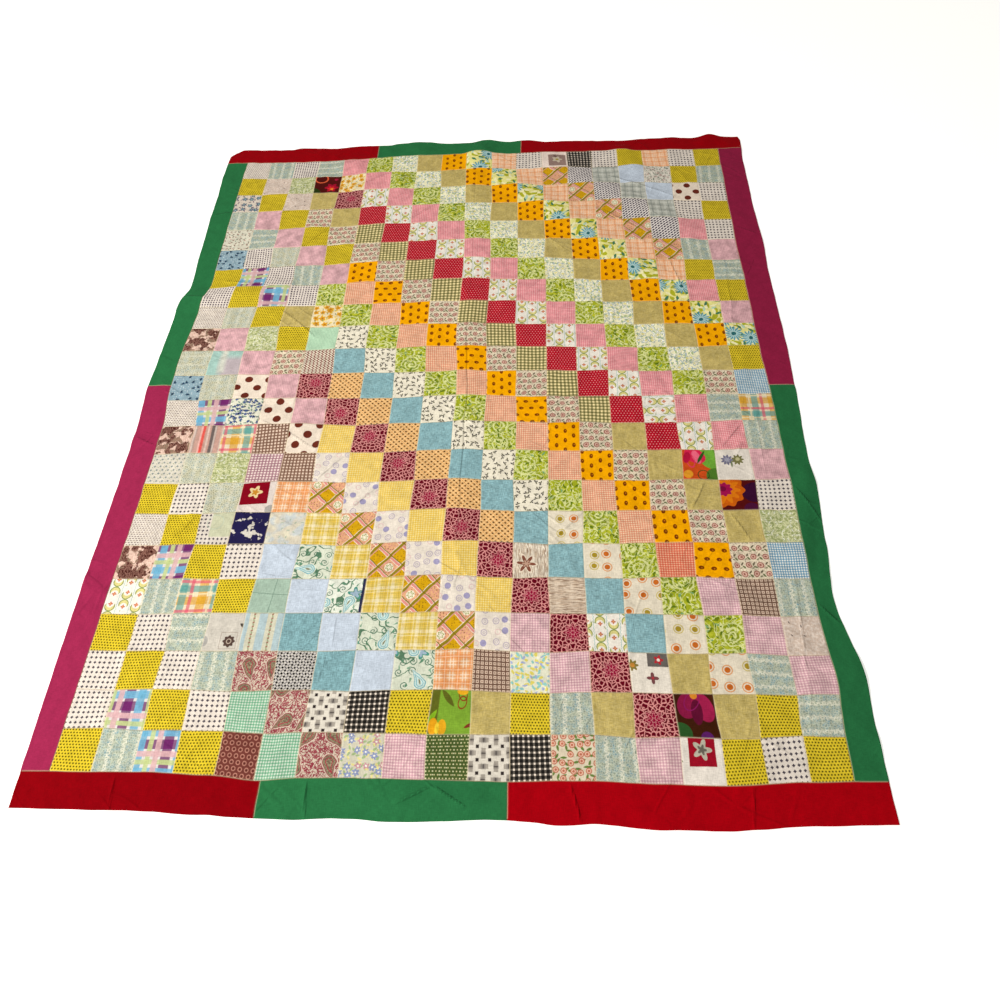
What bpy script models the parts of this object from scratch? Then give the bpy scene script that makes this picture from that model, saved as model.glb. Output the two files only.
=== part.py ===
# Patchwork quilt laid flat: one pieced panel of 19 by 23 patches and ten border strips.
#
# Metres, +Z up. The origin is on the floor under the middle of the quilt, +X runs to the
# right along the rows of patches and +Y runs away from the bottom edge.
# A place on the cloth is (column, row): whole numbers are the seams between patches,
# counted from the far left corner of the panel, and the border lies one step outside it,
# so -1 and COLUMNS + 1, or -1 and ROWS + 1, are the outer edges of the quilt.
# Cloth is never quite square, so the tables below give in millimetres how far the seams
# and edges lie from the even grid.

import math
from collections import namedtuple

import bmesh
import bpy

# Driving dimensions.
COLUMNS = 19
ROWS = 23
PATCH_ACROSS = 0.1000
PATCH_DOWN = 0.1036
CLOTH_THICKNESS = 0.002
PIECE_GAP = 0.0003
CELLS_PER_PATCH = 3
SAME_LINE = 0.01    # grid lines closer than this share of a patch are one line
MM = 0.001

# Where the border changes colour, as a place along each side.
TOP_JOINS = (5.33, 11.17)
BOTTOM_JOINS = (5.16, 10.95)
LEFT_JOIN = 11.40
RIGHT_JOIN = 11.66

# The sides: at a place along the side, how far the panel's seam and the quilt's outer edge
# lie outside the even grid line, in millimetres.
Side = namedtuple("Side", "at seam edge")

LEFT_SIDE = (
    Side(at=-1.0, seam=-9, edge=52),
    Side(at=-0.6, seam=-9, edge=72),
    Side(at=0.0, seam=-9, edge=73),
    Side(at=3.0, seam=-10, edge=69),
    Side(at=5.0, seam=-13, edge=63),
    Side(at=6.8, seam=-18, edge=55),
    Side(at=8.2, seam=-1, edge=79),
    Side(at=10.4, seam=12, edge=83),
    Side(at=11.4, seam=11, edge=88),
    Side(at=13.2, seam=-5, edge=77),
    Side(at=16.0, seam=-4, edge=77),
    Side(at=19.0, seam=1, edge=80),
    Side(at=24.0, seam=5, edge=76),
)

RIGHT_SIDE = (
    Side(at=-1.0, seam=0, edge=88),
    Side(at=-0.7, seam=0, edge=94),
    Side(at=0.0, seam=-1, edge=91),
    Side(at=0.7, seam=-3, edge=86),
    Side(at=4.0, seam=-9, edge=82),
    Side(at=5.2, seam=-12, edge=85),
    Side(at=6.6, seam=-9, edge=79),
    Side(at=10.0, seam=-11, edge=78),
    Side(at=11.7, seam=-6, edge=73),
    Side(at=14.4, seam=-7, edge=60),
    Side(at=15.2, seam=-5, edge=65),
    Side(at=17.0, seam=-12, edge=53),
    Side(at=18.4, seam=-11, edge=38),
    Side(at=20.7, seam=-3, edge=70),
    Side(at=22.0, seam=-10, edge=66),
    Side(at=24.0, seam=-13, edge=66),
)

TOP_SIDE = (
    Side(at=-1.0, seam=-2, edge=64),
    Side(at=-0.5, seam=-2, edge=84),
    Side(at=1.7, seam=-7, edge=77),
    Side(at=2.1, seam=-8, edge=87),
    Side(at=3.7, seam=-6, edge=81),
    Side(at=4.4, seam=0, edge=91),
    Side(at=5.4, seam=10, edge=91),
    Side(at=6.5, seam=19, edge=101),
    Side(at=7.3, seam=16, edge=99),
    Side(at=8.7, seam=23, edge=92),
    Side(at=9.45, seam=26, edge=99),
    Side(at=10.1, seam=22, edge=98),
    Side(at=10.8, seam=16, edge=94),
    Side(at=11.4, seam=20, edge=102),
    Side(at=12.3, seam=20, edge=92),
    Side(at=14.4, seam=20, edge=88),
    Side(at=15.1, seam=20, edge=86),
    Side(at=16.4, seam=15, edge=93),
    Side(at=17.3, seam=18, edge=99),
    Side(at=18.0, seam=13, edge=94),
    Side(at=18.7, seam=16, edge=98),
    Side(at=19.3, seam=17, edge=95),
    Side(at=20.0, seam=17, edge=92),
)

BOTTOM_SIDE = (
    Side(at=-1.0, seam=-9, edge=74),
    Side(at=2.2, seam=-10, edge=77),
    Side(at=3.8, seam=-4, edge=84),
    Side(at=5.1, seam=7, edge=90),
    Side(at=6.1, seam=0, edge=92),
    Side(at=7.2, seam=-1, edge=88),
    Side(at=8.4, seam=0, edge=94),
    Side(at=10.8, seam=4, edge=87),
    Side(at=12.3, seam=0, edge=97),
    Side(at=13.0, seam=0, edge=93),
    Side(at=14.3, seam=5, edge=104),
    Side(at=15.9, seam=8, edge=104),
    Side(at=18.0, seam=-2, edge=91),
    Side(at=20.0, seam=-7, edge=86),
)

# How far the seams inside the panel have crept to the right and away from the bottom edge,
# in millimetres, at seven columns of a few rows.
CREEP_COLUMNS = (0, 4, 6, 9, 12, 15, 19)
Creep = namedtuple("Creep", "row right away")

CREEP_ROWS = (
    Creep(row=0, right=(9, 8, 4, 2, 0, -2, -2), away=(-2, 3, 22, 24, 19, 23, 16)),
    Creep(row=3, right=(9, 6, 6, 6, 4, -3, -7), away=(-2, 5, 19, 24, 20, 24, 6)),
    Creep(row=6, right=(15, 6, 6, 14, 5, -3, -9), away=(-14, 6, 16, 28, 18, 4, -6)),
    Creep(row=9, right=(-3, 6, 8, 6, 5, -2, -11), away=(10, 6, 13, 17, 6, 0, -2)),
    Creep(row=12, right=(-8, 9, 13, 16, 3, -3, -6), away=(6, 8, 6, 14, 9, 4, 8)),
    Creep(row=16, right=(3, 2, 9, 7, 0, -9, -8), away=(0, 4, 0, 12, 2, 4, 2)),
    Creep(row=20, right=(-2, -6, -3, 3, -3, -6, -8), away=(0, 0, 2, 7, 2, -1, -6)),
    Creep(row=23, right=(-5, -3, -7, -1, -1, 0, -12), away=(9, -2, -3, -4, 0, -8, 5)),
)
SIDE_FADE = 2.5    # patches over which a side's own unevenness dies away inside the panel

# Soft ridges where the cloth doesn't lie flat: from one place to another, the width of the
# ridge at the floor and its height, in millimetres.
Ridge = namedtuple("Ridge", "start end width height")

RIDGES = (
    Ridge(start=(9.85, -1.05), end=(9.43, 0.1), width=150, height=11),
    Ridge(start=(9.43, 0.1), end=(9.40, 0.5), width=140, height=11),
    Ridge(start=(9.40, 0.5), end=(9.35, 17.5), width=130, height=4),
    Ridge(start=(7.15, -1.05), end=(7.05, -0.5), width=170, height=6),
    Ridge(start=(15.15, -0.1), end=(15.6, 1.0), width=140, height=7),
    Ridge(start=(18.7, -1.0), end=(18.6, -0.6), width=110, height=8),
    Ridge(start=(12.2, 0.6), end=(17.2, 4.6), width=170, height=7),
    Ridge(start=(10.4, 1.5), end=(15.6, 6.6), width=170, height=8),
    Ridge(start=(4.2, 0.3), end=(6.4, 1.6), width=150, height=6),
    Ridge(start=(-0.9, 7.6), end=(2.6, 7.2), width=170, height=10),
    Ridge(start=(2.4, 9.3), end=(4.4, 8.4), width=140, height=7),
    Ridge(start=(2.3, 12.4), end=(4.4, 13.2), width=140, height=6),
    Ridge(start=(19.7, 14.9), end=(18.9, 17.3), width=130, height=7),
    Ridge(start=(19.8, 20.4), end=(18.6, 20.8), width=150, height=9),
    Ridge(start=(8.6, 23.5), end=(10.0, 23.6), width=130, height=5),
)


def ease(share):
    # A gentle start and end: 0 at 0, 1 at 1, level at both.
    share = min(max(share, 0.0), 1.0)
    return share * share * (3.0 - 2.0 * share)


def mix(first, second, share):
    return first + (second - first) * share


def read_between(stations, values, at):
    # The value at a place between stations, easing from one station to the next.
    if at <= stations[0]:
        return values[0]
    for index in range(1, len(stations)):
        if at <= stations[index]:
            span = stations[index] - stations[index - 1]
            share = ease((at - stations[index - 1]) / span)
            return mix(values[index - 1], values[index], share)
    return values[-1]


def side_seam(side, at):
    return read_between([row.at for row in side], [row.seam for row in side], at) * MM


def side_edge(side, at):
    return read_between([row.at for row in side], [row.edge for row in side], at) * MM


def creep(direction, column, row):
    rows = [entry.row for entry in CREEP_ROWS]
    at_rows = [read_between(CREEP_COLUMNS, getattr(entry, direction), column) for entry in CREEP_ROWS]
    return read_between(rows, at_rows, row) * MM


def seam_x(column, row):
    # X of a place inside the panel, from its left side's even line.
    from_left = 1.0 - ease(column / SIDE_FADE)
    from_right = 1.0 - ease((COLUMNS - column) / SIDE_FADE)
    shift = creep("right", column, row)
    shift += from_left * (-side_seam(LEFT_SIDE, row) - creep("right", 0, row))
    shift += from_right * (side_seam(RIGHT_SIDE, row) - creep("right", COLUMNS, row))
    return column * PATCH_ACROSS + shift


def seam_y(column, row):
    # Y of a place inside the panel, from its top side's even line.
    from_top = 1.0 - ease(row / SIDE_FADE)
    from_bottom = 1.0 - ease((ROWS - row) / SIDE_FADE)
    shift = creep("away", column, row)
    shift += from_top * (side_seam(TOP_SIDE, column) - creep("away", column, 0))
    shift += from_bottom * (-side_seam(BOTTOM_SIDE, column) - creep("away", column, ROWS))
    return -row * PATCH_DOWN + shift


def ridge_height(ridge, column, row):
    # A rounded ridge along a straight line, dying away past its ends.
    x, y = column * PATCH_ACROSS, row * PATCH_DOWN
    start_x, start_y = ridge.start[0] * PATCH_ACROSS, ridge.start[1] * PATCH_DOWN
    run_x, run_y = ridge.end[0] * PATCH_ACROSS - start_x, ridge.end[1] * PATCH_DOWN - start_y
    along = ((x - start_x) * run_x + (y - start_y) * run_y) / (run_x ** 2 + run_y ** 2)
    along = min(max(along, 0.0), 1.0)
    off_x, off_y = x - start_x - along * run_x, y - start_y - along * run_y
    offset = math.hypot(off_x, off_y) / (0.5 * ridge.width * MM)
    if offset >= 1.0:
        return 0.0
    return 0.5 * (1.0 + math.cos(math.pi * offset)) * ridge.height * MM


def find_middle():
    # The middle of the quilt's reach, which the origin lies under.
    left = -max(row.edge for row in LEFT_SIDE) * MM
    right = COLUMNS * PATCH_ACROSS + max(row.edge for row in RIGHT_SIDE) * MM
    far = max(row.edge for row in TOP_SIDE) * MM
    near = -ROWS * PATCH_DOWN - max(row.edge for row in BOTTOM_SIDE) * MM
    return mix(left, right, 0.5), mix(near, far, 0.5)


MIDDLE_X, MIDDLE_Y = find_middle()


def lay(column, row):
    # The floor side of the cloth at a place on the quilt, border included.
    inner_column = min(max(column, 0.0), COLUMNS)
    inner_row = min(max(row, 0.0), ROWS)
    x = seam_x(inner_column, inner_row)
    y = seam_y(inner_column, inner_row)
    if column < 0.0:
        x = mix(x, -side_edge(LEFT_SIDE, row), -column)
    elif column > COLUMNS:
        x = mix(x, COLUMNS * PATCH_ACROSS + side_edge(RIGHT_SIDE, row), column - COLUMNS)
    if row < 0.0:
        y = mix(y, side_edge(TOP_SIDE, column), -row)
    elif row > ROWS:
        y = mix(y, -ROWS * PATCH_DOWN - side_edge(BOTTOM_SIDE, column), row - ROWS)
    z = max(ridge_height(ridge, column, row) for ridge in RIDGES)
    return x - MIDDLE_X, y - MIDDLE_Y, z


def cell_lines(first, last, joins):
    # Grid lines from the first place to the last; a border join takes the place of the
    # half-patch line beside it, so that pieces that meet share the same points.
    step = 1.0 / CELLS_PER_PATCH
    count = round((last - first) / step)
    lines = [first + index * step for index in range(count + 1)]
    for join in joins:
        nearest = min(lines, key=lambda line: abs(line - join))
        if abs(nearest - join) < 0.5 * step and nearest not in joins:
            lines.remove(nearest)
        lines.append(join)
    return sorted(lines)


COLUMN_LINES = cell_lines(-1.0, COLUMNS + 1.0, TOP_JOINS + BOTTOM_JOINS)
ROW_LINES = cell_lines(-1.0, ROWS + 1.0, (LEFT_JOIN, RIGHT_JOIN))


def lines_inside(lines, low, high, patch_size):
    # The grid lines of one piece, its seam ends drawn in by half the gap between pieces.
    inset = 0.5 * PIECE_GAP / patch_size
    inner = [line for line in lines if low + SAME_LINE < line < high - SAME_LINE]
    first = low if low == lines[0] else low + inset
    last = high if high == lines[-1] else high - inset
    return [first] + inner + [last]


def cloth_material(name, colour):
    material = bpy.data.materials.new(name)
    material.use_nodes = True
    shader = material.node_tree.nodes["Principled BSDF"]
    shader.inputs["Base Color"].default_value = (*colour, 1.0)
    shader.inputs["Roughness"].default_value = 0.9
    shader.inputs["Metallic"].default_value = 0.0
    material.diffuse_color = (*colour, 1.0)
    return material


def cloth_piece(name, left, right, far, near, material):
    # One cut piece: a grid laid on the ridges, then given its thickness straight up,
    # so that the edges of pieces that meet stay parallel.
    columns = lines_inside(COLUMN_LINES, left, right, PATCH_ACROSS)
    rows = lines_inside(ROW_LINES, far, near, PATCH_DOWN)
    shape = bmesh.new()
    across, down = len(columns) - 1, len(rows) - 1
    bmesh.ops.create_grid(shape, x_segments=across, y_segments=down, size=0.5)
    for vert in shape.verts:
        column = columns[round((vert.co.x + 0.5) * across)]
        row = rows[round((0.5 - vert.co.y) * down)]
        vert.co = lay(column, row)
    bmesh.ops.reverse_faces(shape, faces=shape.faces)
    floor_side = shape.faces[:] + shape.edges[:] + shape.verts[:]
    raised = bmesh.ops.extrude_face_region(shape, geom=floor_side, use_keep_orig=True)
    top_verts = [part for part in raised["geom"] if isinstance(part, bmesh.types.BMVert)]
    bmesh.ops.translate(shape, verts=top_verts, vec=(0.0, 0.0, CLOTH_THICKNESS))
    bmesh.ops.recalc_face_normals(shape, faces=shape.faces)
    bmesh.ops.triangulate(shape, faces=shape.faces)
    mesh = bpy.data.meshes.new(name)
    shape.to_mesh(mesh)
    shape.free()
    mesh.materials.append(material)
    piece = bpy.data.objects.new(name, mesh)
    bpy.context.scene.collection.objects.link(piece)
    return piece


def make_panel():
    cotton = cloth_material("pieced cotton", (0.62, 0.52, 0.27))
    cloth_piece("patchwork_panel", 0.0, COLUMNS, 0.0, ROWS, cotton)


def make_border():
    red = cloth_material("red cotton", (0.38, 0.003, 0.008))
    green = cloth_material("green cotton", (0.027, 0.19, 0.07))
    magenta = cloth_material("magenta cotton", (0.27, 0.015, 0.075))
    outer_left, outer_right = -1.0, COLUMNS + 1.0
    outer_far, outer_near = -1.0, ROWS + 1.0

    # The top and bottom strips run over the corners, three lengths each.
    top_first, top_second = TOP_JOINS
    cloth_piece("border_top_red_left", outer_left, top_first, outer_far, 0.0, red)
    cloth_piece("border_top_green", top_first, top_second, outer_far, 0.0, green)
    cloth_piece("border_top_red_right", top_second, outer_right, outer_far, 0.0, red)
    bottom_first, bottom_second = BOTTOM_JOINS
    cloth_piece("border_bottom_red_left", outer_left, bottom_first, ROWS, outer_near, red)
    cloth_piece("border_bottom_green", bottom_first, bottom_second, ROWS, outer_near, green)
    cloth_piece("border_bottom_red_right", bottom_second, outer_right, ROWS, outer_near, red)

    # The side strips stand between them, two lengths each.
    cloth_piece("border_left_green", outer_left, 0.0, 0.0, LEFT_JOIN, green)
    cloth_piece("border_left_magenta", outer_left, 0.0, LEFT_JOIN, ROWS, magenta)
    cloth_piece("border_right_magenta", COLUMNS, outer_right, 0.0, RIGHT_JOIN, magenta)
    cloth_piece("border_right_green", COLUMNS, outer_right, RIGHT_JOIN, ROWS, green)


for leftover in list(bpy.context.scene.objects):
    bpy.data.objects.remove(leftover, do_unlink=True)
make_panel()
make_border()
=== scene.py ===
# Patchwork quilt spread flat on a pale floor: 23 rows of 19 cotton patches whose fabrics run
# in diagonals, inside a border of red, green and magenta strips.

import math

import bpy
import numpy as np
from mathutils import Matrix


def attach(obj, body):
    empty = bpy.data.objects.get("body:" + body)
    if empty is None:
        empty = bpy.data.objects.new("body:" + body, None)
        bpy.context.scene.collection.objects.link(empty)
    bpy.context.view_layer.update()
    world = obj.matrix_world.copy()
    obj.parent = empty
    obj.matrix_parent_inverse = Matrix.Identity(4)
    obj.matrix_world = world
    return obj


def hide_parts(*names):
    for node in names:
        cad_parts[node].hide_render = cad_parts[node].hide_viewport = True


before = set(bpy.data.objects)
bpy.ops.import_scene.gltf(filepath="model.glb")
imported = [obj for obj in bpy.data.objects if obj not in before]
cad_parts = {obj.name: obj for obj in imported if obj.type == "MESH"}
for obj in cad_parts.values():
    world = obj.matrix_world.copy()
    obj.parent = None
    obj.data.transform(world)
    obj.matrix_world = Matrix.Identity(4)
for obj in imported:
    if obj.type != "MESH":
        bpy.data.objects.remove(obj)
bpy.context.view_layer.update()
print("frame loaded")

mm = 0.001

# How the cloth lies. A place on it is (column, row): whole numbers are the seams between
# patches, counted from the far left corner, and the border lies one step outside them.
patchwork = {
    "columns": 19,
    "rows": 23,
    "patchAcross": 0.1000,
    "patchDown": 0.1036,
    "sideFade": 2.5,            # patches over which a side's unevenness dies away inside
    "cornerWander": 3.2,        # mm that the corners of patches stray
    "seamRipple": 0.8,          # mm that a seam wavers between its corners
    "rippleSwell": 0.04,        # m from one waver to the next
    "rippleSeeds": (21, 22),
    "foldLines": [9.32, 9.335, 9.35, 9.365, 9.38, 9.395, 9.41],     # finer at the old fold
    "foldClear": 0.01,          # how far the other lines keep from those
    "endLines": (0.02, 0.05),   # lines beside a piece's own end
    "endClear": 0.065,          # and how far the other lines keep from the end
    "pieceLines": [0.02, 0.05, 0.08, 0.15, 0.22, 0.29, 0.36, 0.43, 0.5,
                   0.57, 0.64, 0.71, 0.78, 0.85, 0.92, 0.95, 0.98, 1.0],
}
columns, rows = patchwork["columns"], patchwork["rows"]
patchAcross, patchDown = patchwork["patchAcross"], patchwork["patchDown"]

# Each side: the place along it, then how many mm the panel's seam and the quilt's outer edge
# lie outside the even grid line.
leftSide = [
    (-1.0, -9, 52), (-0.6, -9, 72), (0.0, -9, 73), (3.0, -10, 69), (5.0, -13, 63),
    (6.8, -18, 55), (8.2, -1, 79), (10.4, 12, 83), (11.4, 11, 88), (13.2, -5, 77),
    (16.0, -4, 77), (19.0, 1, 80), (24.0, 5, 76),
]
rightSide = [
    (-1.0, 0, 88), (-0.7, 0, 94), (0.0, -1, 91), (0.7, -3, 86), (4.0, -9, 82),
    (5.2, -12, 85), (6.6, -9, 79), (10.0, -11, 78), (11.7, -6, 73), (14.4, -7, 60),
    (15.2, -5, 65), (17.0, -12, 53), (18.4, -11, 38), (20.7, -3, 70), (22.0, -10, 66),
    (24.0, -13, 66),
]
topSide = [
    (-1.0, -2, 64), (-0.5, -2, 84), (1.7, -7, 77), (2.1, -8, 87), (3.7, -6, 81),
    (4.4, 0, 91), (5.4, 10, 91), (6.5, 19, 101), (7.3, 16, 99), (8.7, 23, 92),
    (9.45, 26, 99), (10.1, 22, 98), (10.8, 16, 94), (11.4, 20, 102), (12.3, 20, 92),
    (14.4, 20, 88), (15.1, 20, 86), (16.4, 15, 93), (17.3, 18, 99), (18.0, 13, 94),
    (18.7, 16, 98), (19.3, 17, 95), (20.0, 17, 92),
]
bottomSide = [
    (-1.0, -9, 74), (2.2, -10, 77), (3.8, -4, 84), (5.1, 7, 90), (6.1, 0, 92),
    (7.2, -1, 88), (8.4, 0, 94), (10.8, 4, 87), (12.3, 0, 97), (13.0, 0, 93),
    (14.3, 5, 104), (15.9, 8, 104), (18.0, -2, 91), (20.0, -7, 86),
]

# How far the seams inside have crept, in mm: the row, then to the right and away from the
# bottom edge at seven columns.
creepColumns = [0, 4, 6, 9, 12, 15, 19]
creepRows = [
    (0, (9, 8, 4, 2, 0, -2, -2), (-2, 3, 22, 24, 19, 23, 16)),
    (3, (9, 6, 6, 6, 4, -3, -7), (-2, 5, 19, 24, 20, 24, 6)),
    (6, (15, 6, 6, 14, 5, -3, -9), (-14, 6, 16, 28, 18, 4, -6)),
    (9, (-3, 6, 8, 6, 5, -2, -11), (10, 6, 13, 17, 6, 0, -2)),
    (12, (-8, 9, 13, 16, 3, -3, -6), (6, 8, 6, 14, 9, 4, 8)),
    (16, (3, 2, 9, 7, 0, -9, -8), (0, 4, 0, 12, 2, 4, 2)),
    (20, (-2, -6, -3, 3, -3, -6, -8), (0, 0, 2, 7, 2, -1, -6)),
    (23, (-5, -3, -7, -1, -1, 0, -12), (9, -2, -3, -4, 0, -8, 5)),
]

# Soft ridges where the cloth doesn't lie flat: start, end, width and height in mm.
ridges = [
    ((9.85, -1.05), (9.43, 0.1), 150, 11), ((9.43, 0.1), (9.4, 0.5), 140, 11),
    ((9.4, 0.5), (9.35, 17.5), 130, 4), ((7.15, -1.05), (7.05, -0.5), 170, 6),
    ((15.15, -0.1), (15.6, 1), 140, 7), ((18.7, -1), (18.6, -0.6), 110, 8),
    ((12.2, 0.6), (17.2, 4.6), 170, 7), ((10.4, 1.5), (15.6, 6.6), 170, 8),
    ((4.2, 0.3), (6.4, 1.6), 150, 6), ((-0.9, 7.6), (2.6, 7.2), 170, 10),
    ((2.4, 9.3), (4.4, 8.4), 140, 7), ((2.3, 12.4), (4.4, 13.2), 140, 6),
    ((19.7, 14.9), (18.9, 17.3), 130, 7), ((19.8, 20.4), (18.6, 20.8), 150, 9),
    ((8.6, 23.5), (10, 23.6), 130, 5),
]

# Sharper creases on top of the ridges, with the same fields. One below 0 is pressed in.
creases = [
    ((9.38, 0.3), (9.33, 9), 9, -0.6), ((9.35, 8), (9.4, 17.4), 10, -1.2),
    ((4.3, 1.9), (6.1, 1.1), 26, 3.2), ((5.8, 2.8), (6.9, 2.2), 24, 2.4),
    ((6.8, 3.9), (8, 2.9), 26, 3), ((2.9, 5.1), (3.95, 4.1), 26, 3.6),
    ((4, 6.9), (5, 6.1), 24, 2.6), ((1, 3.6), (2.4, 3), 26, 2.2),
    ((0.6, 10.8), (2, 10), 26, 2.8), ((2.8, 8.1), (4.3, 9.5), 28, 3),
    ((0.3, 6.6), (1.9, 6.9), 26, 2.6), ((3, 12.8), (5, 13.9), 28, 3),
    ((5.05, 14.95), (5.85, 14.1), 22, 3.2), ((6.15, 15.95), (7, 15.1), 22, 3),
    ((14.3, 1.4), (17.2, 2.9), 32, 3.2), ((14.2, 3.5), (15.9, 4.8), 26, 3.4),
    ((16.4, 5.9), (16.9, 7.6), 24, 3), ((11.9, 4.8), (12.8, 5.6), 24, 2.4),
    ((8.7, 3.3), (10.1, 3.15), 26, 2.8), ((12.9, 7.2), (14.1, 6.6), 24, 2.2),
    ((17.1, 14), (17.9, 13.1), 24, 4), ((16.1, 15.95), (16.6, 15.05), 22, 3.2),
    ((17.2, 16.1), (17.6, 17), 22, 2.8), ((18.4, 5.6), (18.3, 9.6), 26, 1.5),
    ((18.5, 12.4), (18.3, 15), 24, 1.6), ((18.6, 17.6), (18.2, 22.2), 26, 1.8),
    ((13, 16), (12.1, 16.9), 22, 2.4), ((2.1, 21.9), (3, 21.2), 24, 2.6),
    ((1.2, 16.9), (1.9, 16), 22, 2.4), ((5.1, 18.36), (5.9, 18.33), 14, 1.6),
    ((6.34, 19.08), (6.32, 19.92), 14, 1.6), ((6.2, 20.1), (6.14, 20.8), 16, 2.2),
    ((5.3, 19.85), (5.95, 19.6), 18, 2.2), ((10.1, 10.9), (10.9, 10.2), 22, 2.2),
    ((7.1, 7.95), (7.9, 7.3), 22, 2.2), ((6.25, 23.05), (6.35, 24), 18, 4),
    ((8.3, 23.6), (9.2, 23.15), 20, 3.6), ((9.2, 23.15), (10, 23.7), 20, 3.6),
    ((12.4, 23.05), (12.6, 24), 18, 3.4), ((1.6, 23.1), (1.7, 24), 18, 2.6),
    ((16.6, 23.05), (16.5, 24), 18, 2.6), ((-0.95, 7.5), (0.3, 7.6), 30, 4),
    ((-0.9, 3.2), (-0.1, 3), 24, 2.6), ((-0.9, 13.4), (0, 13.7), 24, 2.8),
    ((19.05, 15.2), (19.95, 16.4), 26, 3.4), ((19.1, 18.7), (19.9, 19.2), 24, 3),
    ((19.1, 4.4), (19.9, 4.8), 22, 2.4),
]


def ease(share):
    # A gentle start and end: 0 at 0, 1 at 1, level at both.
    share = np.clip(share, 0.0, 1.0)
    return share * share * (3.0 - 2.0 * share)


def readBetween(stations, values, at):
    # The values at places between stations, easing from one station to the next.
    stations, values = np.asarray(stations, float), np.asarray(values, float)
    after = np.clip(np.searchsorted(stations, at), 1, len(stations) - 1)
    share = ease((at - stations[after - 1]) / (stations[after] - stations[after - 1]))
    if values.ndim == 2:
        each = np.arange(at.size)
        low, high = values[after - 1, each], values[after, each]
    else:
        low, high = values[after - 1], values[after]
    return low + (high - low) * share


def sideSeam(side, at):
    return readBetween([row[0] for row in side], [row[1] for row in side], at) * mm


def sideEdge(side, at):
    return readBetween([row[0] for row in side], [row[2] for row in side], at) * mm


def creep(direction, column, row):
    # Direction 1 is to the right and 2 is away from the bottom edge.
    atRows = [readBetween(creepColumns, entry[direction], column) for entry in creepRows]
    return readBetween([entry[0] for entry in creepRows], np.array(atRows), row) * mm


def seamX(column, row):
    fromLeft = 1.0 - ease(column / patchwork["sideFade"])
    fromRight = 1.0 - ease((columns - column) / patchwork["sideFade"])
    atLeft, atRight = np.zeros_like(column), np.full_like(column, columns)
    shift = creep(1, column, row)
    shift += fromLeft * (-sideSeam(leftSide, row) - creep(1, atLeft, row))
    shift += fromRight * (sideSeam(rightSide, row) - creep(1, atRight, row))
    return column * patchAcross + shift


def seamY(column, row):
    fromTop = 1.0 - ease(row / patchwork["sideFade"])
    fromBottom = 1.0 - ease((rows - row) / patchwork["sideFade"])
    atTop, atBottom = np.zeros_like(row), np.full_like(row, rows)
    shift = creep(2, column, row)
    shift += fromTop * (sideSeam(topSide, column) - creep(2, column, atTop))
    shift += fromBottom * (-sideSeam(bottomSide, column) - creep(2, column, atBottom))
    return -row * patchDown + shift


def offsetFrom(line, column, row):
    # Distance in metres to one side or the other of a straight line, and how far along it.
    start, end = line[0], line[1]
    x, y = (column - start[0]) * patchAcross, (row - start[1]) * patchDown
    runX, runY = (end[0] - start[0]) * patchAcross, (end[1] - start[1]) * patchDown
    along = np.clip((x * runX + y * runY) / (runX ** 2 + runY ** 2), 0.0, 1.0)
    side = np.where(x * runY < y * runX, -1.0, 1.0)
    return side * np.hypot(x - along * runX, y - along * runY), along


middleX = 0.5 * (columns * patchAcross
                 + (max(row[2] for row in rightSide) - max(row[2] for row in leftSide)) * mm)
middleY = 0.5 * (-rows * patchDown
                 + (max(row[2] for row in topSide) - max(row[2] for row in bottomSide)) * mm)

wander = np.random.default_rng(41).uniform(-1.0, 1.0, (2, rows + 1, columns + 1))
wander[:, [0, -1], :] = 0.0
wander[:, :, [0, -1]] = 0.0


def strayBy(axis, column, row):
    # Corners of patches stray a little, and the seams run straight between them.
    left = np.clip(np.floor(column), 0, columns - 1).astype(int)
    far = np.clip(np.floor(row), 0, rows - 1).astype(int)
    across, down = np.clip(column - left, 0.0, 1.0), np.clip(row - far, 0.0, 1.0)
    table = wander[axis]
    farSide = table[far, left] * (1.0 - across) + table[far, left + 1] * across
    nearSide = table[far + 1, left] * (1.0 - across) + table[far + 1, left + 1] * across
    return (farSide * (1.0 - down) + nearSide * down) * patchwork["cornerWander"] * mm


def softNoise(x, y, size, seed):
    # Smooth seeded noise between -1 and 1, its swells about one size apart.
    cells = 64
    table = np.random.default_rng(seed).uniform(-1.0, 1.0, (cells, cells))
    left, low = np.floor(x / size), np.floor(y / size)
    across, up = ease(x / size - left), ease(y / size - low)
    left, low = left.astype(int) % cells, low.astype(int) % cells
    right, high = (left + 1) % cells, (low + 1) % cells
    below = table[low, left] * (1.0 - across) + table[low, right] * across
    above = table[high, left] * (1.0 - across) + table[high, right] * across
    return below * (1.0 - up) + above * up


# Small wrinkles that are strewn between the placed creases.
wrinkles = {
    "number": 210,
    "length": (0.4, 1.3),       # in patches
    "width": (16.0, 30.0),      # mm
    "height": (1.0, 3.4),       # mm
}
placedCreases = len(creases)
place = np.random.default_rng(23)
for each in range(wrinkles["number"]):
    column, row = place.uniform(0.0, columns), place.uniform(0.0, rows)
    heading, run = place.uniform(0.0, math.pi), 0.5 * place.uniform(*wrinkles["length"])
    creases.append(((column - run * math.cos(heading), row - run * math.sin(heading)),
                    (column + run * math.cos(heading), row + run * math.sin(heading)),
                    place.uniform(*wrinkles["width"]), place.uniform(*wrinkles["height"])))

bends = {
    "swell": 0.07,              # m from one bend of a crease to the next
    "seed": 5,
    "reach": 3.0,               # mm
    "unseen": 50.0,             # mm from a crease, where nothing of it shows
    "fullHeight": 3.2,          # mm; a crease of this height shows at full strength
}


def bendAt(x, y):
    # How far a crease strays from its straight line.
    return softNoise(x, y, bends["swell"], bends["seed"]) * bends["reach"] * mm


def fadeOut(along):
    # A crease dies away towards both of its ends.
    return 1.0 - (2.0 * along - 1.0) ** 4


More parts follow.
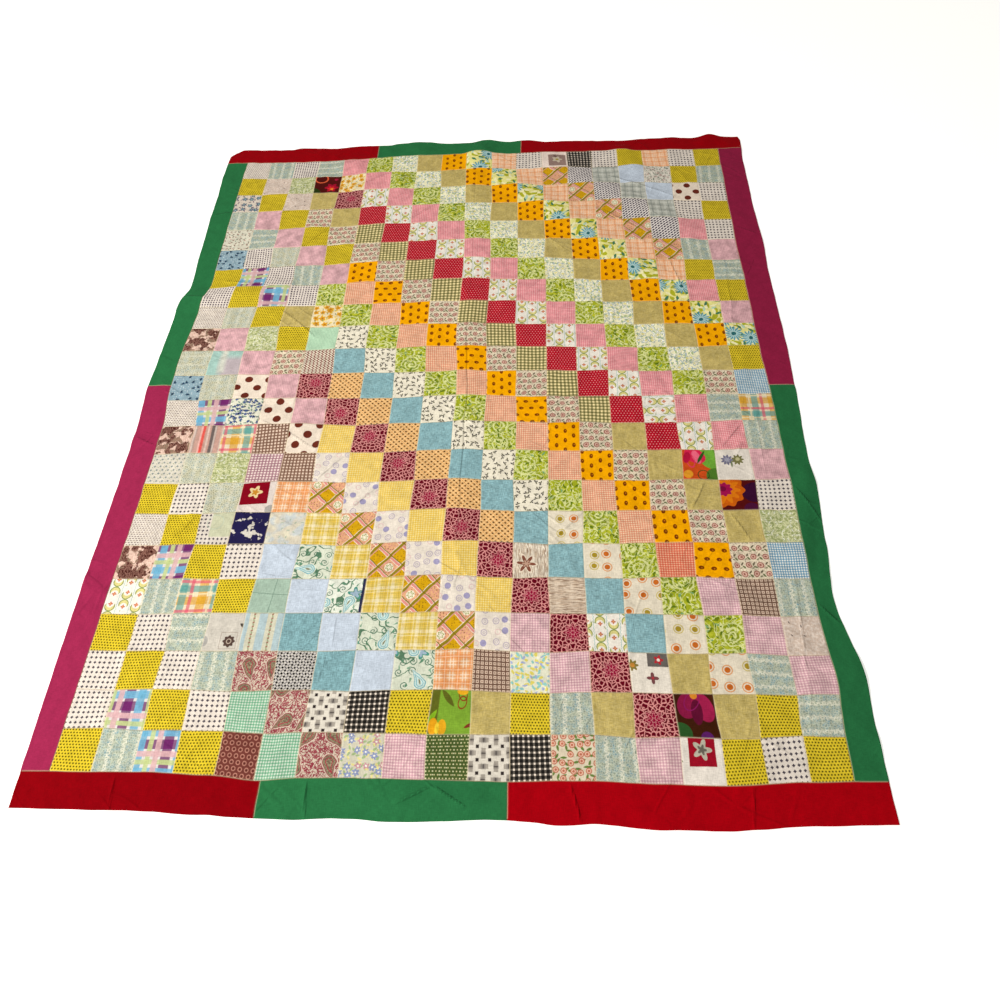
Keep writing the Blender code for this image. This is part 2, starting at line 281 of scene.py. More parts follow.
def foldAt(column, row, x, y):
    # Distance in mm from the nearest of the creases that were placed, and how strongly it shows.
    nearest, strength = np.full_like(column, bends["unseen"]), np.zeros_like(column)
    bend = bendAt(x, y)
    for crease in creases[:placedCreases]:
        offset, along = offsetFrom(crease, column, row)
        offset = np.abs(offset + bend) / mm
        closer = offset < nearest
        nearest = np.where(closer, offset, nearest)
        shown = np.clip(crease[3] / bends["fullHeight"], -1.0, 1.0) * fadeOut(along)
        strength = np.where(closer, shown, strength)
    return np.stack([nearest, strength, np.zeros_like(nearest)], axis=1)


surface = {
    "underside": 0.9 * mm,      # height of the underside over the floor
    "thickness": 1.1 * mm,
    "seamDepth": 0.45 * mm,     # the groove at a seam
    "seamWidth": 2.4 * mm,      # from the seam to the top of the groove
    "welt": 0.45 * mm,          # how far the turned edges under a seam lift the cloth
    "weltWidth": 9.0 * mm,
    "crinkle": 1.2 * mm,
    "crinkleSwells": (0.034, 0.016),    # m, a wide one and a fine one on top of it
    "crinkleSeeds": (12, 13),
    "crinkleBase": 1.5,         # lifts the cloth clear of the underside
    "crinkleFine": 0.5,
    "drag": 3.0 * mm,           # long soft pulls in the cloth
    "dragHeading": (0.81, -0.58),
    "dragLong": 4.0,            # times as long as wide
    "dragSwell": 0.065,         # m
    "dragSeed": 11,
    "dragSharp": 1.5,
    "threadWidth": 2.2 * mm,    # from a seam to where no thread shows
    "hemWidth": 4.0 * mm,       # the quilt's own edge, which shows no thread
    "smoothAngle": 50.0,        # degrees
}


def layCloth(column, row):
    # X, Y and the height of the underside at places on the cloth, before the seams.
    innerColumn = np.clip(column, 0.0, columns)
    innerRow = np.clip(row, 0.0, rows)
    x = seamX(innerColumn, innerRow) + strayBy(0, innerColumn, innerRow)
    y = seamY(innerColumn, innerRow) + strayBy(1, innerColumn, innerRow)
    outerX = np.where(column < 0.0, -sideEdge(leftSide, row),
                      columns * patchAcross + sideEdge(rightSide, row))
    outerY = np.where(row < 0.0, sideEdge(topSide, column),
                      -rows * patchDown - sideEdge(bottomSide, column))
    stepX, stepY = np.abs(column - innerColumn), np.abs(row - innerRow)
    x, y = x + (outerX - x) * stepX, y + (outerY - y) * stepY
    ripple, swell = patchwork["seamRipple"] * mm, patchwork["rippleSwell"]
    rippleX, rippleY = (ripple * softNoise(x, y, swell, seed) for seed in patchwork["rippleSeeds"])
    x, y = x + rippleX, y + rippleY

    height = np.zeros_like(x)
    for ridge in ridges:
        offset = np.minimum(np.abs(offsetFrom(ridge, column, row)[0]) / (0.5 * ridge[2] * mm), 1.0)
        height = np.maximum(height, 0.5 * (1.0 + np.cos(math.pi * offset)) * ridge[3] * mm)
    bend = bendAt(x, y)
    for crease in creases:
        offset, along = offsetFrom(crease, column, row)
        offset = np.minimum(np.abs(offset + bend) / (0.5 * crease[2] * mm), 1.0)
        height += (1.0 - offset) ** 2 * fadeOut(along) * crease[3] * mm
    turnX, turnY = surface["dragHeading"]
    along, aside = turnX * x + turnY * y, turnX * y - turnY * x
    pull = softNoise(along / surface["dragLong"], aside, surface["dragSwell"], surface["dragSeed"])
    height += surface["drag"] * np.maximum(pull, 0.0) ** surface["dragSharp"]
    wide, fine = (softNoise(x, y, swell, seed)
                  for swell, seed in zip(surface["crinkleSwells"], surface["crinkleSeeds"]))
    height += surface["crinkle"] * (surface["crinkleBase"] + wide + surface["crinkleFine"] * fine)
    return x - middleX, y - middleY, height


# Cloth pieces. Each is a grid primitive whose points are laid on the quilt, with its seams
# pressed in, and a Solidify modifier for the thickness of the cotton.

def patchLines(first, last, joins=()):
    # Places of the grid lines from one end of a piece to the other, and any more on the way.
    whole = np.arange(math.floor(first), math.ceil(last))
    lines = (whole[:, None] + np.array(patchwork["pieceLines"])).ravel()
    clear = patchwork["foldClear"]
    lines = [line for line in lines
             if not joins or not joins[0] - clear < line < joins[-1] + clear]
    lines += [line for line in joins if first < line < last]
    steps = patchwork["endLines"]
    ends = [first, last] + [first + step for step in steps] + [last - step for step in steps]
    clear = patchwork["endClear"]
    return np.array(sorted([line for line in lines if first + clear < line < last - clear] + ends))


def seamDip(distance):
    groove = -surface["seamDepth"] * (1.0 - ease(distance / surface["seamWidth"]))
    rise = ease(distance / surface["seamWidth"]) * surface["welt"]
    return groove + rise * (1.0 - ease((distance - 0.5 * surface["weltWidth"])
                                       / (0.5 * surface["weltWidth"])))


def makeCloth(name, left, right, far, near, patchWide):
    # A piece from left to right and from far to near. A panel row has a patch per column,
    # and a border strip is one patch from end to end.
    bpy.ops.object.select_all(action="DESELECT")
    across, down = patchLines(left, right, patchwork["foldLines"]), patchLines(far, near)
    bpy.ops.mesh.primitive_grid_add(
        x_subdivisions=len(across) - 1, y_subdivisions=len(down) - 1, size=1)
    piece = bpy.context.object
    piece.name = piece.data.name = name
    mesh = piece.data

    points = np.empty(len(mesh.vertices) * 3)
    mesh.vertices.foreach_get("co", points)
    points = points.reshape(-1, 3)
    column = across[np.rint((points[:, 0] + 0.5) * (len(across) - 1)).astype(int)]
    row = down[np.rint((0.5 - points[:, 1]) * (len(down) - 1)).astype(int)]
    x, y, height = layCloth(column, row)

    # Distance to the nearest seam or hem.
    if patchWide:
        toSide = np.abs(column - np.rint(column)) * patchAcross
    else:
        toSide = np.minimum(column - left, right - column) * patchAcross
    toEnd = np.minimum(row - far, near - row) * patchDown
    distance = np.minimum(toSide, toEnd)
    height += surface["underside"] + surface["thickness"] + seamDip(distance)
    points = np.stack([x, y, height], axis=1)
    mesh.vertices.foreach_set("co", points.ravel())

    # Thread shows at a seam and not at the quilt's own edge, which is turned under.
    thread = 1.0 - ease(distance / surface["threadWidth"])
    toEdge = np.minimum(np.minimum(column + 1.0, columns + 1.0 - column),
                        np.minimum(row + 1.0, rows + 1.0 - row))
    thread = np.where(toEdge * patchAcross < surface["hemWidth"], 0.0, thread)
    mesh.attributes.new("seam", "FLOAT", "POINT")
    mesh.attributes["seam"].data.foreach_set("value", thread)
    fold = foldAt(column, row, x + middleX, y + middleY)
    mesh.attributes.new("fold", "FLOAT_VECTOR", "POINT")
    mesh.attributes["fold"].data.foreach_set("vector", fold.ravel())

    # The place of each face's corners, and the number of its patch along the piece.
    corner = np.empty(len(mesh.loops), dtype=np.int32)
    mesh.loops.foreach_get("vertex_index", corner)
    loopColumn, loopRow = column[corner], row[corner]
    longWays = right - left > near - far
    patch = np.floor((loopColumn if longWays else loopRow).reshape(-1, 4).mean(axis=1)).astype(int)
    number = np.repeat(patch - math.floor(left if longWays else far), 4)
    return piece, (loopColumn, loopRow, number)


bake = {
    "margin": 0.03,             # of a field
    "rowFields": (5, 4),        # across and down
    "stripFields": 4,           # across
}


def addMaps(piece, loops, cloth, patch, bakeAcross, bakeDown, along, aside):
    # The two maps that prints follow, in mm, and the bake map, a table with a field per patch.
    number, margin = loops[2], bake["margin"]
    u = (number % bakeAcross + margin + (1.0 - 2.0 * margin) * along) / bakeAcross
    v = (number // bakeAcross + margin + (1.0 - 2.0 * margin) * aside) / bakeDown
    layers = piece.data.uv_layers
    for name, places in (("cloth", cloth), ("patch", patch),
                         ("OFBake", np.stack([u, v], axis=1))):
        layers.new(name=name)
        layers[name].data.foreach_set("uv", places.ravel())
    layers.active = layers["cloth"]
    layers["cloth"].active_render = True


def thicken(piece):
    bpy.ops.object.shade_smooth_by_angle(angle=math.radians(surface["smoothAngle"]))
    modifier = piece.modifiers.new("cotton", "SOLIDIFY")
    modifier.thickness = surface["thickness"]
    modifier.offset = -1.0
    bpy.ops.object.modifier_apply(modifier=modifier.name)


# Materials

def hexColour(code):
    # An sRGB hex colour as linear red, green, blue and alpha.
    parts = [int(code[start:start + 2], 16) / 255.0 for start in (1, 3, 5)]
    linear = [part / 12.92 if part <= 0.04045 else ((part + 0.055) / 1.055) ** 2.4
              for part in parts]
    return (*linear, 1.0)


def addNode(tree, kind, *values, output=0, **settings):
    # One node, its kind followed by what it works out, then its links and plain values in the
    # order of its inputs.
    kind, _, operation = kind.partition(" ")
    node = tree.nodes.new("ShaderNode" + kind)
    if operation:
        node.operation = operation
    for setting, value in settings.items():
        setattr(node, setting, value)
    for socket, value in zip([each for each in node.inputs if not each.is_unavailable], values):
        if isinstance(value, bpy.types.NodeSocket):
            tree.links.new(value, socket)
        elif value is not None:
            socket.default_value = value
    return [each for each in node.outputs if not each.is_unavailable][output]


# What every noise and every set of cells has in common, in the order of the node's inputs.
plainNoise = (0.5, 2.0, 0.0)        # roughness, lacunarity, distortion
plainCells = (0.0, 0.5, 2.0)        # detail, roughness, lacunarity
noiseForm = {
    "seedStep": 7.3,            # how far a seed moves the noise
    "aside": 3.1,
    "blotStep": 2.0,            # sizes that a whole step of the noise's level takes at a blot
    "strandStep": 3.3,          # and at a strand
    "strandHalf": 0.3,          # level to each side of the middle, for a line as wide as the size
}


def placeMotif(tree, at, motif):
    # The way from the middle of the nearest motif, in mm, and a chance colour for each motif.
    pitch = motif.get("pitch")
    if not pitch:
        return at, None
    if motif.get("strewn"):
        middle = addNode(tree, "TexVoronoi", at, 1.0 / pitch, *plainCells,
                         motif.get("scatter", 0.7), output=2, voronoi_dimensions="2D")
        local = addNode(tree, "VectorMath SUBTRACT", at, middle)
        return local, middle.node.outputs["Color"]
    wide, high = pitch
    local = at
    if motif.get("shift"):
        local = addNode(tree, "VectorMath ADD", at, (*motif["shift"], 0.0))
    if motif.get("stagger"):
        height = addNode(tree, "SeparateXYZ", local, output=1)
        level = addNode(tree, "Math DIVIDE", height, high)
        level = addNode(tree, "Math ROUND", level)
        odd = addNode(tree, "Math PINGPONG", level, 1.0)
        aside = addNode(tree, "Math MULTIPLY", odd, 0.5 * wide)
        aside = addNode(tree, "CombineXYZ", aside)
        local = addNode(tree, "VectorMath ADD", local, aside)
    chance = None
    if motif.get("share") or motif.get("turn") == "any":
        cell = addNode(tree, "VectorMath DIVIDE", local, (wide, high, 1.0))
        cell = addNode(tree, "VectorMath ADD", cell, (0.5, 0.5, 0.5))
        cell = addNode(tree, "VectorMath FLOOR", cell)
        chance = addNode(tree, "TexWhiteNoise", cell, output=1, noise_dimensions="2D")
    half = (0.5 * wide, 0.5 * high, 1.0)
    local = addNode(tree, "VectorMath WRAP", local, half, tuple(-each for each in half))
    return local, chance


def shapeMotif(tree, local, motif):
    # A measure that is lower than its edge inside the shape, that edge, and the mm that one
    # step of the measure stands for.
    shape, size = motif["shape"], motif.get("size")
    if shape == "disc":
        return addNode(tree, "VectorMath LENGTH", local), size, 1.0
    if shape == "oval":
        scaled = addNode(tree, "VectorMath MULTIPLY", local, (1.0 / size[0], 1.0 / size[1], 0.0))
        return addNode(tree, "VectorMath LENGTH", scaled), 1.0, min(size)
    if shape in ("blossom", "spiral"):
        x = addNode(tree, "SeparateXYZ", local)
        angle = addNode(tree, "Math ARCTAN2", x.node.outputs[1], x)
        radius = addNode(tree, "VectorMath LENGTH", local)
        if shape == "spiral":       # size is the space between its turns
            wound = addNode(tree, "Math MULTIPLY_ADD", angle, -0.5 * size / math.pi, radius)
            turns = addNode(tree, "Math PINGPONG", wound, 0.5 * size)
            return turns, 0.5 * motif["line"], 1.0
        angle = addNode(tree, "Math MULTIPLY_ADD", angle, motif["petals"], motif.get("twist", 0.0))
        lobe = addNode(tree, "Math COSINE", angle)
        lobe = addNode(tree, "Math MULTIPLY_ADD", lobe, -motif.get("depth", 0.3) * size, radius)
        return lobe, size, 1.0
    if shape == "leaf":             # size is half its length and half its width
        long, thin = size
        radius = (long * long + thin * thin) / (2.0 * thin)
        folded = addNode(tree, "VectorMath ABSOLUTE", local)
        folded = addNode(tree, "VectorMath ADD", folded, (0.0, radius - thin, 0.0))
        return addNode(tree, "VectorMath LENGTH", folded), radius, 1.0
    if shape == "drop":             # size is the round end's radius, the way to its tip, its bend
        roundEnd, long, bend = size
        x = addNode(tree, "SeparateXYZ", local)
        taper = addNode(tree, "Math DIVIDE", x, long, use_clamp=True)
        along = addNode(tree, "Math MULTIPLY_ADD", taper, -long, x)
        curve = addNode(tree, "Math MULTIPLY", taper, taper)
        aside = addNode(tree, "Math MULTIPLY_ADD", curve, -bend, x.node.outputs[1])
        reach = addNode(tree, "CombineXYZ", along, aside)
        reach = addNode(tree, "VectorMath LENGTH", reach)
        reach = addNode(tree, "Math MULTIPLY_ADD", taper, roundEnd, reach)
        return reach, roundEnd, 1.0
    if shape == "box":
        folded = addNode(tree, "VectorMath ABSOLUTE", local)
        folded = addNode(tree, "VectorMath SUBTRACT", folded, (size[0], size[1], 0.0))
        x = addNode(tree, "SeparateXYZ", folded)
        return addNode(tree, "Math MAXIMUM", x, x.node.outputs[1]), 0.0, 1.0
    if shape == "bars":             # size is their repeat and line is the width of each
        angle = math.radians(motif.get("turn", 0.0))
        crossway = (math.cos(angle), math.sin(angle), 0.0)
        across = addNode(tree, "VectorMath DOT_PRODUCT", local, crossway)
        if motif.get("wave"):
            swing, length = motif["wave"]
            step = 2.0 * math.pi / length
            lengthway = (-crossway[1] * step, crossway[0] * step, 0.0)
            phase = addNode(tree, "VectorMath DOT_PRODUCT", local, lengthway)
            phase = addNode(tree, "Math SINE", phase)
            across = addNode(tree, "Math MULTIPLY_ADD", phase, swing, across)
        across = addNode(tree, "Math SUBTRACT", across, motif.get("middle", 0.0))
        across = addNode(tree, "Math PINGPONG", across, 0.5 * size)
        return across, 0.5 * motif["line"], 1.0
    if shape == "net":              # lines between strewn cells of that size
        edge = addNode(tree, "TexVoronoi", local, 1.0 / size, *plainCells,
                       motif.get("scatter", 0.9), voronoi_dimensions="2D",
                       feature="DISTANCE_TO_EDGE")
        return edge, 0.5 * motif["line"] / size, size
    # Noise of that size: a blot is where it is high, and a strand is where it passes its middle.
    wide, high = motif.get("stretch", (1.0, 1.0))
    start = (motif.get("seed", 0.0) * noiseForm["seedStep"], noiseForm["aside"], 0.0)
    scaled = (1.0 / (size * wide), 1.0 / (size * high), 0.0)
    scaled = addNode(tree, "VectorMath MULTIPLY_ADD", local, scaled, start)
    level = addNode(tree, "TexNoise", scaled, 1.0, motif.get("detail", 1.0), *plainNoise,
                    noise_dimensions="2D")
    if shape == "blot":
        level = addNode(tree, "Math SUBTRACT", 1.0, level)
        return level, motif["cover"], noiseForm["blotStep"] * size
    level = addNode(tree, "Math SUBTRACT", level, 0.5)
    level = addNode(tree, "Math ABSOLUTE", level)
    return level, noiseForm["strandHalf"] * motif["line"] / size, noiseForm["strandStep"] * size


def motifMask(tree, at, patchAt, motif):
    # How strongly a motif prints at each place, from 0 to 1.
    if motif.get("placed"):         # measured from the middle of the patch, not of the cloth
        at = patchAt
    if motif.get("lean"):
        at = addNode(tree, "VectorRotate", at, None, math.radians(motif["lean"]),
                     rotation_type="Z_AXIS")
    local, chance = placeMotif(tree, at, motif)
    dice = addNode(tree, "SeparateColor", chance) if chance else None
    turn = motif.get("turn", 0.0)
    if turn == "any":
        turn = addNode(tree, "Math MULTIPLY", dice.node.outputs[1], 2.0 * math.pi)
        local = addNode(tree, "VectorRotate", local, None, turn, rotation_type="Z_AXIS")
    elif turn and motif["shape"] != "bars":
        local = addNode(tree, "VectorRotate", local, None, math.radians(turn),
                        rotation_type="Z_AXIS")
    if motif.get("offset"):
        local = addNode(tree, "VectorMath SUBTRACT", local, (*motif["offset"], 0.0))
    measure, edge, step = shapeMotif(tree, local, motif)
    if motif.get("outline"):
        measure = addNode(tree, "Math SUBTRACT", measure, edge)
        measure = addNode(tree, "Math ABSOLUTE", measure)
        edge = 0.5 * motif["outline"] / step
    soft = motif.get("soft", 0.7) / step
    mask = addNode(tree, "MapRange", measure, edge + soft, edge - soft, 0.0, 1.0)
    if motif.get("share"):
        low, high = motif["share"]
        chosen = addNode(tree, "Math COMPARE", dice, 0.5 * (low + high), 0.5 * (high - low))
        mask = addNode(tree, "Math MULTIPLY", mask, chosen)
    if motif.get("within"):
        inside = motifMask(tree, at, patchAt, motif["within"])
        mask = addNode(tree, "Math MULTIPLY", mask, inside)
    if motif.get("strength"):
        mask = addNode(tree, "Math MULTIPLY", mask, motif["strength"])
    return mask


weave = {
    "thread": 1.3,              # mm between threads: over twice the real space, so that it shows
    "depth": 0.00015,           # m
    "threadBump": 0.6,
    "yarn": (0.55, 0.07),       # swells of the yarn in each mm, across it and along it
    "yarnRange": (0.7, 1.3),    # of both yarns together
    "slub": 0.13,               # how uneven the yarn is
    "fadePitch": 0.03,          # swells in each mm, then their detail and roughness
    "fadeDetail": (2.0, 0.6),
    "fadeRange": (0.3, 0.7),
    "fade": 0.07,               # how patchy the colour has washed
    "roughness": 0.88,
    "specular": 0.03,
    "sheen": 0.01,
    "sheenRoughness": 0.5,
    "seamThread": "#F3E2BE",    # pale sewing thread that shows in the seams
    "seamShow": 0.50,
    "creases": [(32.0, 0.26, 0.0), (-58.0, 0.22, 3.7)],     # turn, length in m and seed
    "creaseGap": 0.075,         # m
    "creaseCurl": 0.5,
    "creaseSharp": 0.085,
    "creaseHeight": 0.0012,     # m
    "wornPitch": 5.0,           # creased places in each m
    "wornRange": (0.47, 0.62),
    "foldWidth": 6.0,           # mm
    "foldRise": 2.6,            # times the height of the small creases
    "foldShade": 0.3,
}


def wovenCotton(name, ground, prints, warp=None, slub=1.0, wash=1.0):
    # Plain-woven cotton, washed soft: matt, a faint thread, colour that has faded unevenly.
    material = bpy.data.materials.new("woven cotton, " + name)
    material.use_nodes = True
    tree = material.node_tree
    shader = tree.nodes["Principled BSDF"]
    at = addNode(tree, "UVMap", uv_map="cloth")
    patchAt = addNode(tree, "UVMap", uv_map="patch")
    drawn = at
    if warp:
        reach, size = warp
        stir = addNode(tree, "TexNoise", at, 1.0 / size, 1.0, *plainNoise, output=1,
                       noise_dimensions="2D")
        stir = addNode(tree, "VectorMath SUBTRACT", stir, (0.5, 0.5, 0.5))
        drawn = addNode(tree, "VectorMath MULTIPLY_ADD", stir, (2.0 * reach,) * 3, at)
    colour = addNode(tree, "RGB")
    colour.node.outputs[0].default_value = hexColour(ground)
    for motif in prints:
        mask = motifMask(tree, drawn, patchAt, motif)
        colour = addNode(tree, "MixRGB", mask, colour, hexColour(motif["colour"]))

    # Uneven yarn both ways, uneven fading, then the pale thread at the seams.
    yarns = []
    for swells in (weave["yarn"], weave["yarn"][::-1]):
        yarn = addNode(tree, "VectorMath MULTIPLY", at, (*swells, 0.0))
        yarns.append(addNode(tree, "TexNoise", yarn, 1.0, 1.0, *plainNoise, noise_dimensions="2D"))
    yarn = addNode(tree, "Math ADD", *yarns)
    fade = addNode(tree, "TexNoise", at, weave["fadePitch"], *weave["fadeDetail"], *plainNoise[1:],
                   noise_dimensions="2D")
    reach = weave["slub"] * slub
    tone = addNode(tree, "MapRange", yarn, *weave["yarnRange"], 1.0 - reach, 1.0 + reach)
    reach = weave["fade"] * wash
    washed = addNode(tree, "MapRange", fade, *weave["fadeRange"], 1.0 - reach, 1.0 + reach)
    tone = addNode(tree, "Math MULTIPLY", tone, washed)
    # A placed crease stands up sharply or sinks in, and where it sinks in its colour is painted
    # darker: painted shade in the crease.
    near = addNode(tree, "SeparateXYZ", addNode(tree, "Attribute", output=1, attribute_name="fold"))
    fold = addNode(tree, "MapRange", near, 0.0, weave["foldWidth"], 1.0, 0.0,
                   interpolation_type="SMOOTHSTEP")
    fold = addNode(tree, "Math MULTIPLY", fold, near.node.outputs[1])
    paintedCreaseShade = addNode(tree, "MapRange", fold, -1.0, 0.0, 1.0 - weave["foldShade"], 1.0)
    tone = addNode(tree, "Math MULTIPLY", tone, paintedCreaseShade)
    colour = addNode(tree, "VectorMath SCALE", colour, tone)
    seam = addNode(tree, "Attribute", output=2, attribute_name="seam")
    seam = addNode(tree, "Math MULTIPLY", seam, weave["seamShow"])
    colour = addNode(tree, "MixRGB", seam, colour, hexColour(weave["seamThread"]))
    tree.links.new(colour, shader.inputs["Base Color"])

    ways = addNode(tree, "SeparateXYZ", at)
    threads = [addNode(tree, "Math PINGPONG", way, 0.5 * weave["thread"])
               for way in (ways, ways.node.outputs[1])]
    cloth = addNode(tree, "Math MULTIPLY", *threads)
    cloth = addNode(tree, "Math ADD", cloth, yarn)
    # Small pressed creases, here and there, that run on from patch to patch.
    place = addNode(tree, "TexCoord", output=3)
    worn = addNode(tree, "TexNoise", place, weave["wornPitch"], 1.0, *plainNoise)
    worn = addNode(tree, "MapRange", worn, *weave["wornRange"], 0.0, 1.0,
                   interpolation_type="SMOOTHSTEP")
    pressed = []
    for turn, long, seed in weave["creases"]:
        run = addNode(tree, "VectorRotate", place, (seed, 0.0, 0.0), math.radians(turn),
                      rotation_type="Z_AXIS")
        run = addNode(tree, "VectorMath MULTIPLY", run, (1.0 / long, 1.0 / weave["creaseGap"], 0.0))
        level = addNode(tree, "TexNoise", run, 1.0, 0.0, *plainNoise[:2], weave["creaseCurl"],
                        noise_dimensions="2D")
        level = addNode(tree, "Math SUBTRACT", level, 0.5)
        level = addNode(tree, "Math ABSOLUTE", level)
        pressed.append(addNode(tree, "MapRange", level, 0.0, weave["creaseSharp"], 1.0, 0.0,
                               interpolation_type="SMOOTHERSTEP"))
    pressed = addNode(tree, "Math MAXIMUM", *pressed)
    pressed = addNode(tree, "Math MULTIPLY", pressed, worn)
    pressed = addNode(tree, "Math MULTIPLY_ADD", fold, weave["foldRise"], pressed)
    creased = addNode(tree, "Bump", 1.0, weave["creaseHeight"], None, pressed)
    bump = addNode(tree, "Bump", weave["threadBump"], weave["depth"], None, cloth, creased)
    tree.links.new(bump, shader.inputs["Normal"])
    for socket, value in (("Roughness", "roughness"), ("Specular IOR Level", "specular"),
                          ("Sheen Weight", "sheen"), ("Sheen Roughness", "sheenRoughness")):
        shader.inputs[socket].default_value = weave[value]
    return material


def crossed(colour, pitch, line, strength=0.5):
    # The two sets of stripes of a gingham, which are darkest where they cross.
    bars = {"shape": "bars", "size": pitch, "line": line, "colour": colour,
            "strength": strength, "soft": 0.4}
    return [bars, dict(bars, turn=90.0)]


def plaid(repeat, *stripes, strength=0.55):
    # Stripes (middle, width, colour) that run both ways.
    return [{"shape": "bars", "size": repeat, "middle": middle, "line": line, "turn": turn,
             "colour": colour, "strength": strength, "soft": 0.8}
            for middle, line, colour in stripes for turn in (0.0, 90.0)]


def over(shape, size, colour=None, **more):
    # A shape that runs on all over the cloth. One that only bounds another has no colour.
    return dict({"shape": shape, "size": size, "colour": colour}, **more)


def spaced(shape, size, pitch, colour=None, **more):
    # A motif in straight rows.
    return over(shape, size, colour, pitch=pitch, **more)


def staggered(shape, size, pitch, colour=None, **more):
    # A motif in rows of which every second one is shifted by half a repeat.
    return spaced(shape, size, pitch, colour, stagger=True, **more)


def strewn(shape, size, pitch, colour=None, **more):
    # A motif that is strewn over the cloth, turned any way.
    return spaced(shape, size, pitch, colour, strewn=True, turn="any", **more)


def placed(shape, size, offset, colour=None, **more):
    # One motif at a place on the patch.
    return over(shape, size, colour, offset=offset, placed=True, **more)


def nested(pitch, *layers, **more):
    # A strewn drop in several sizes laid one on another, with the size and colour of each.
    return [strewn("drop", size, pitch, colour, **more) for size, colour in layers]


def cotton(ground, *prints, **more):
    return dict(more, ground=ground, prints=prints)


starDots = [spaced("blossom", 3.3, (12.6, 13.2), "#4A444E", petals=4, depth=0.2)]
scrolls = [
    over("strand", 50, "#587C62", line=2.6),
    strewn("spiral", 7, 35, "#4E7662", line=2.3, within=strewn("disc", 10.6, 35)),
    strewn("drop", (3.6, 14, 4), 33, "#5E8C70", share=(0, 0.6), offset=(9, 9)),
    strewn("drop", (2.6, 11, -3), 33, "#7FA48A", share=(0, 0.8), offset=(-10, -6)),
    strewn("blossom", 16, 96, "#4E9484", petals=5, depth=0.36, share=(0, 0.6)),
    strewn("blossom", 11, 96, "#9DB4C8", petals=5, depth=0.36, share=(0, 0.6)),
    *nested(84, ((17, 44, 11), "#DFE4D4"), ((14.6, 40, 10), "#6AA8B4"), ((12.2, 37, 9), "#CBE0DC"),
            scatter=0.4, offset=(-14, 0)),
    strewn("drop", (8, 26, 6), 84, "#7DB4BE", scatter=0.4, offset=(-14, 0), outline=2),
    strewn("leaf", (9, 2), 84, "#84805E", scatter=0.4, offset=(-10, 0)),
]
melonSlices = []
for shift in ((0, 0), (35, 36)):
    for side in (1, -1):
        for shape, size, colour, away, more in (
                ("disc", 13.2, "#DCD28C", 13.8, {}),
                ("disc", 12.6, "#7E9244", 13.8, {"outline": 2.4}),
                ("disc", 10.6, "#F2ECE2", 21.6, {}),
                ("blossom", 5, "#C66A5C", 21.4, {"petals": 4, "depth": 0.3}),
                ("disc", 1.7, "#E3B25C", 21.4, {})):
            melonSlices.append(spaced(shape, size, (70, 72), colour, offset=(0, away * side),
                                      shift=shift, **more))

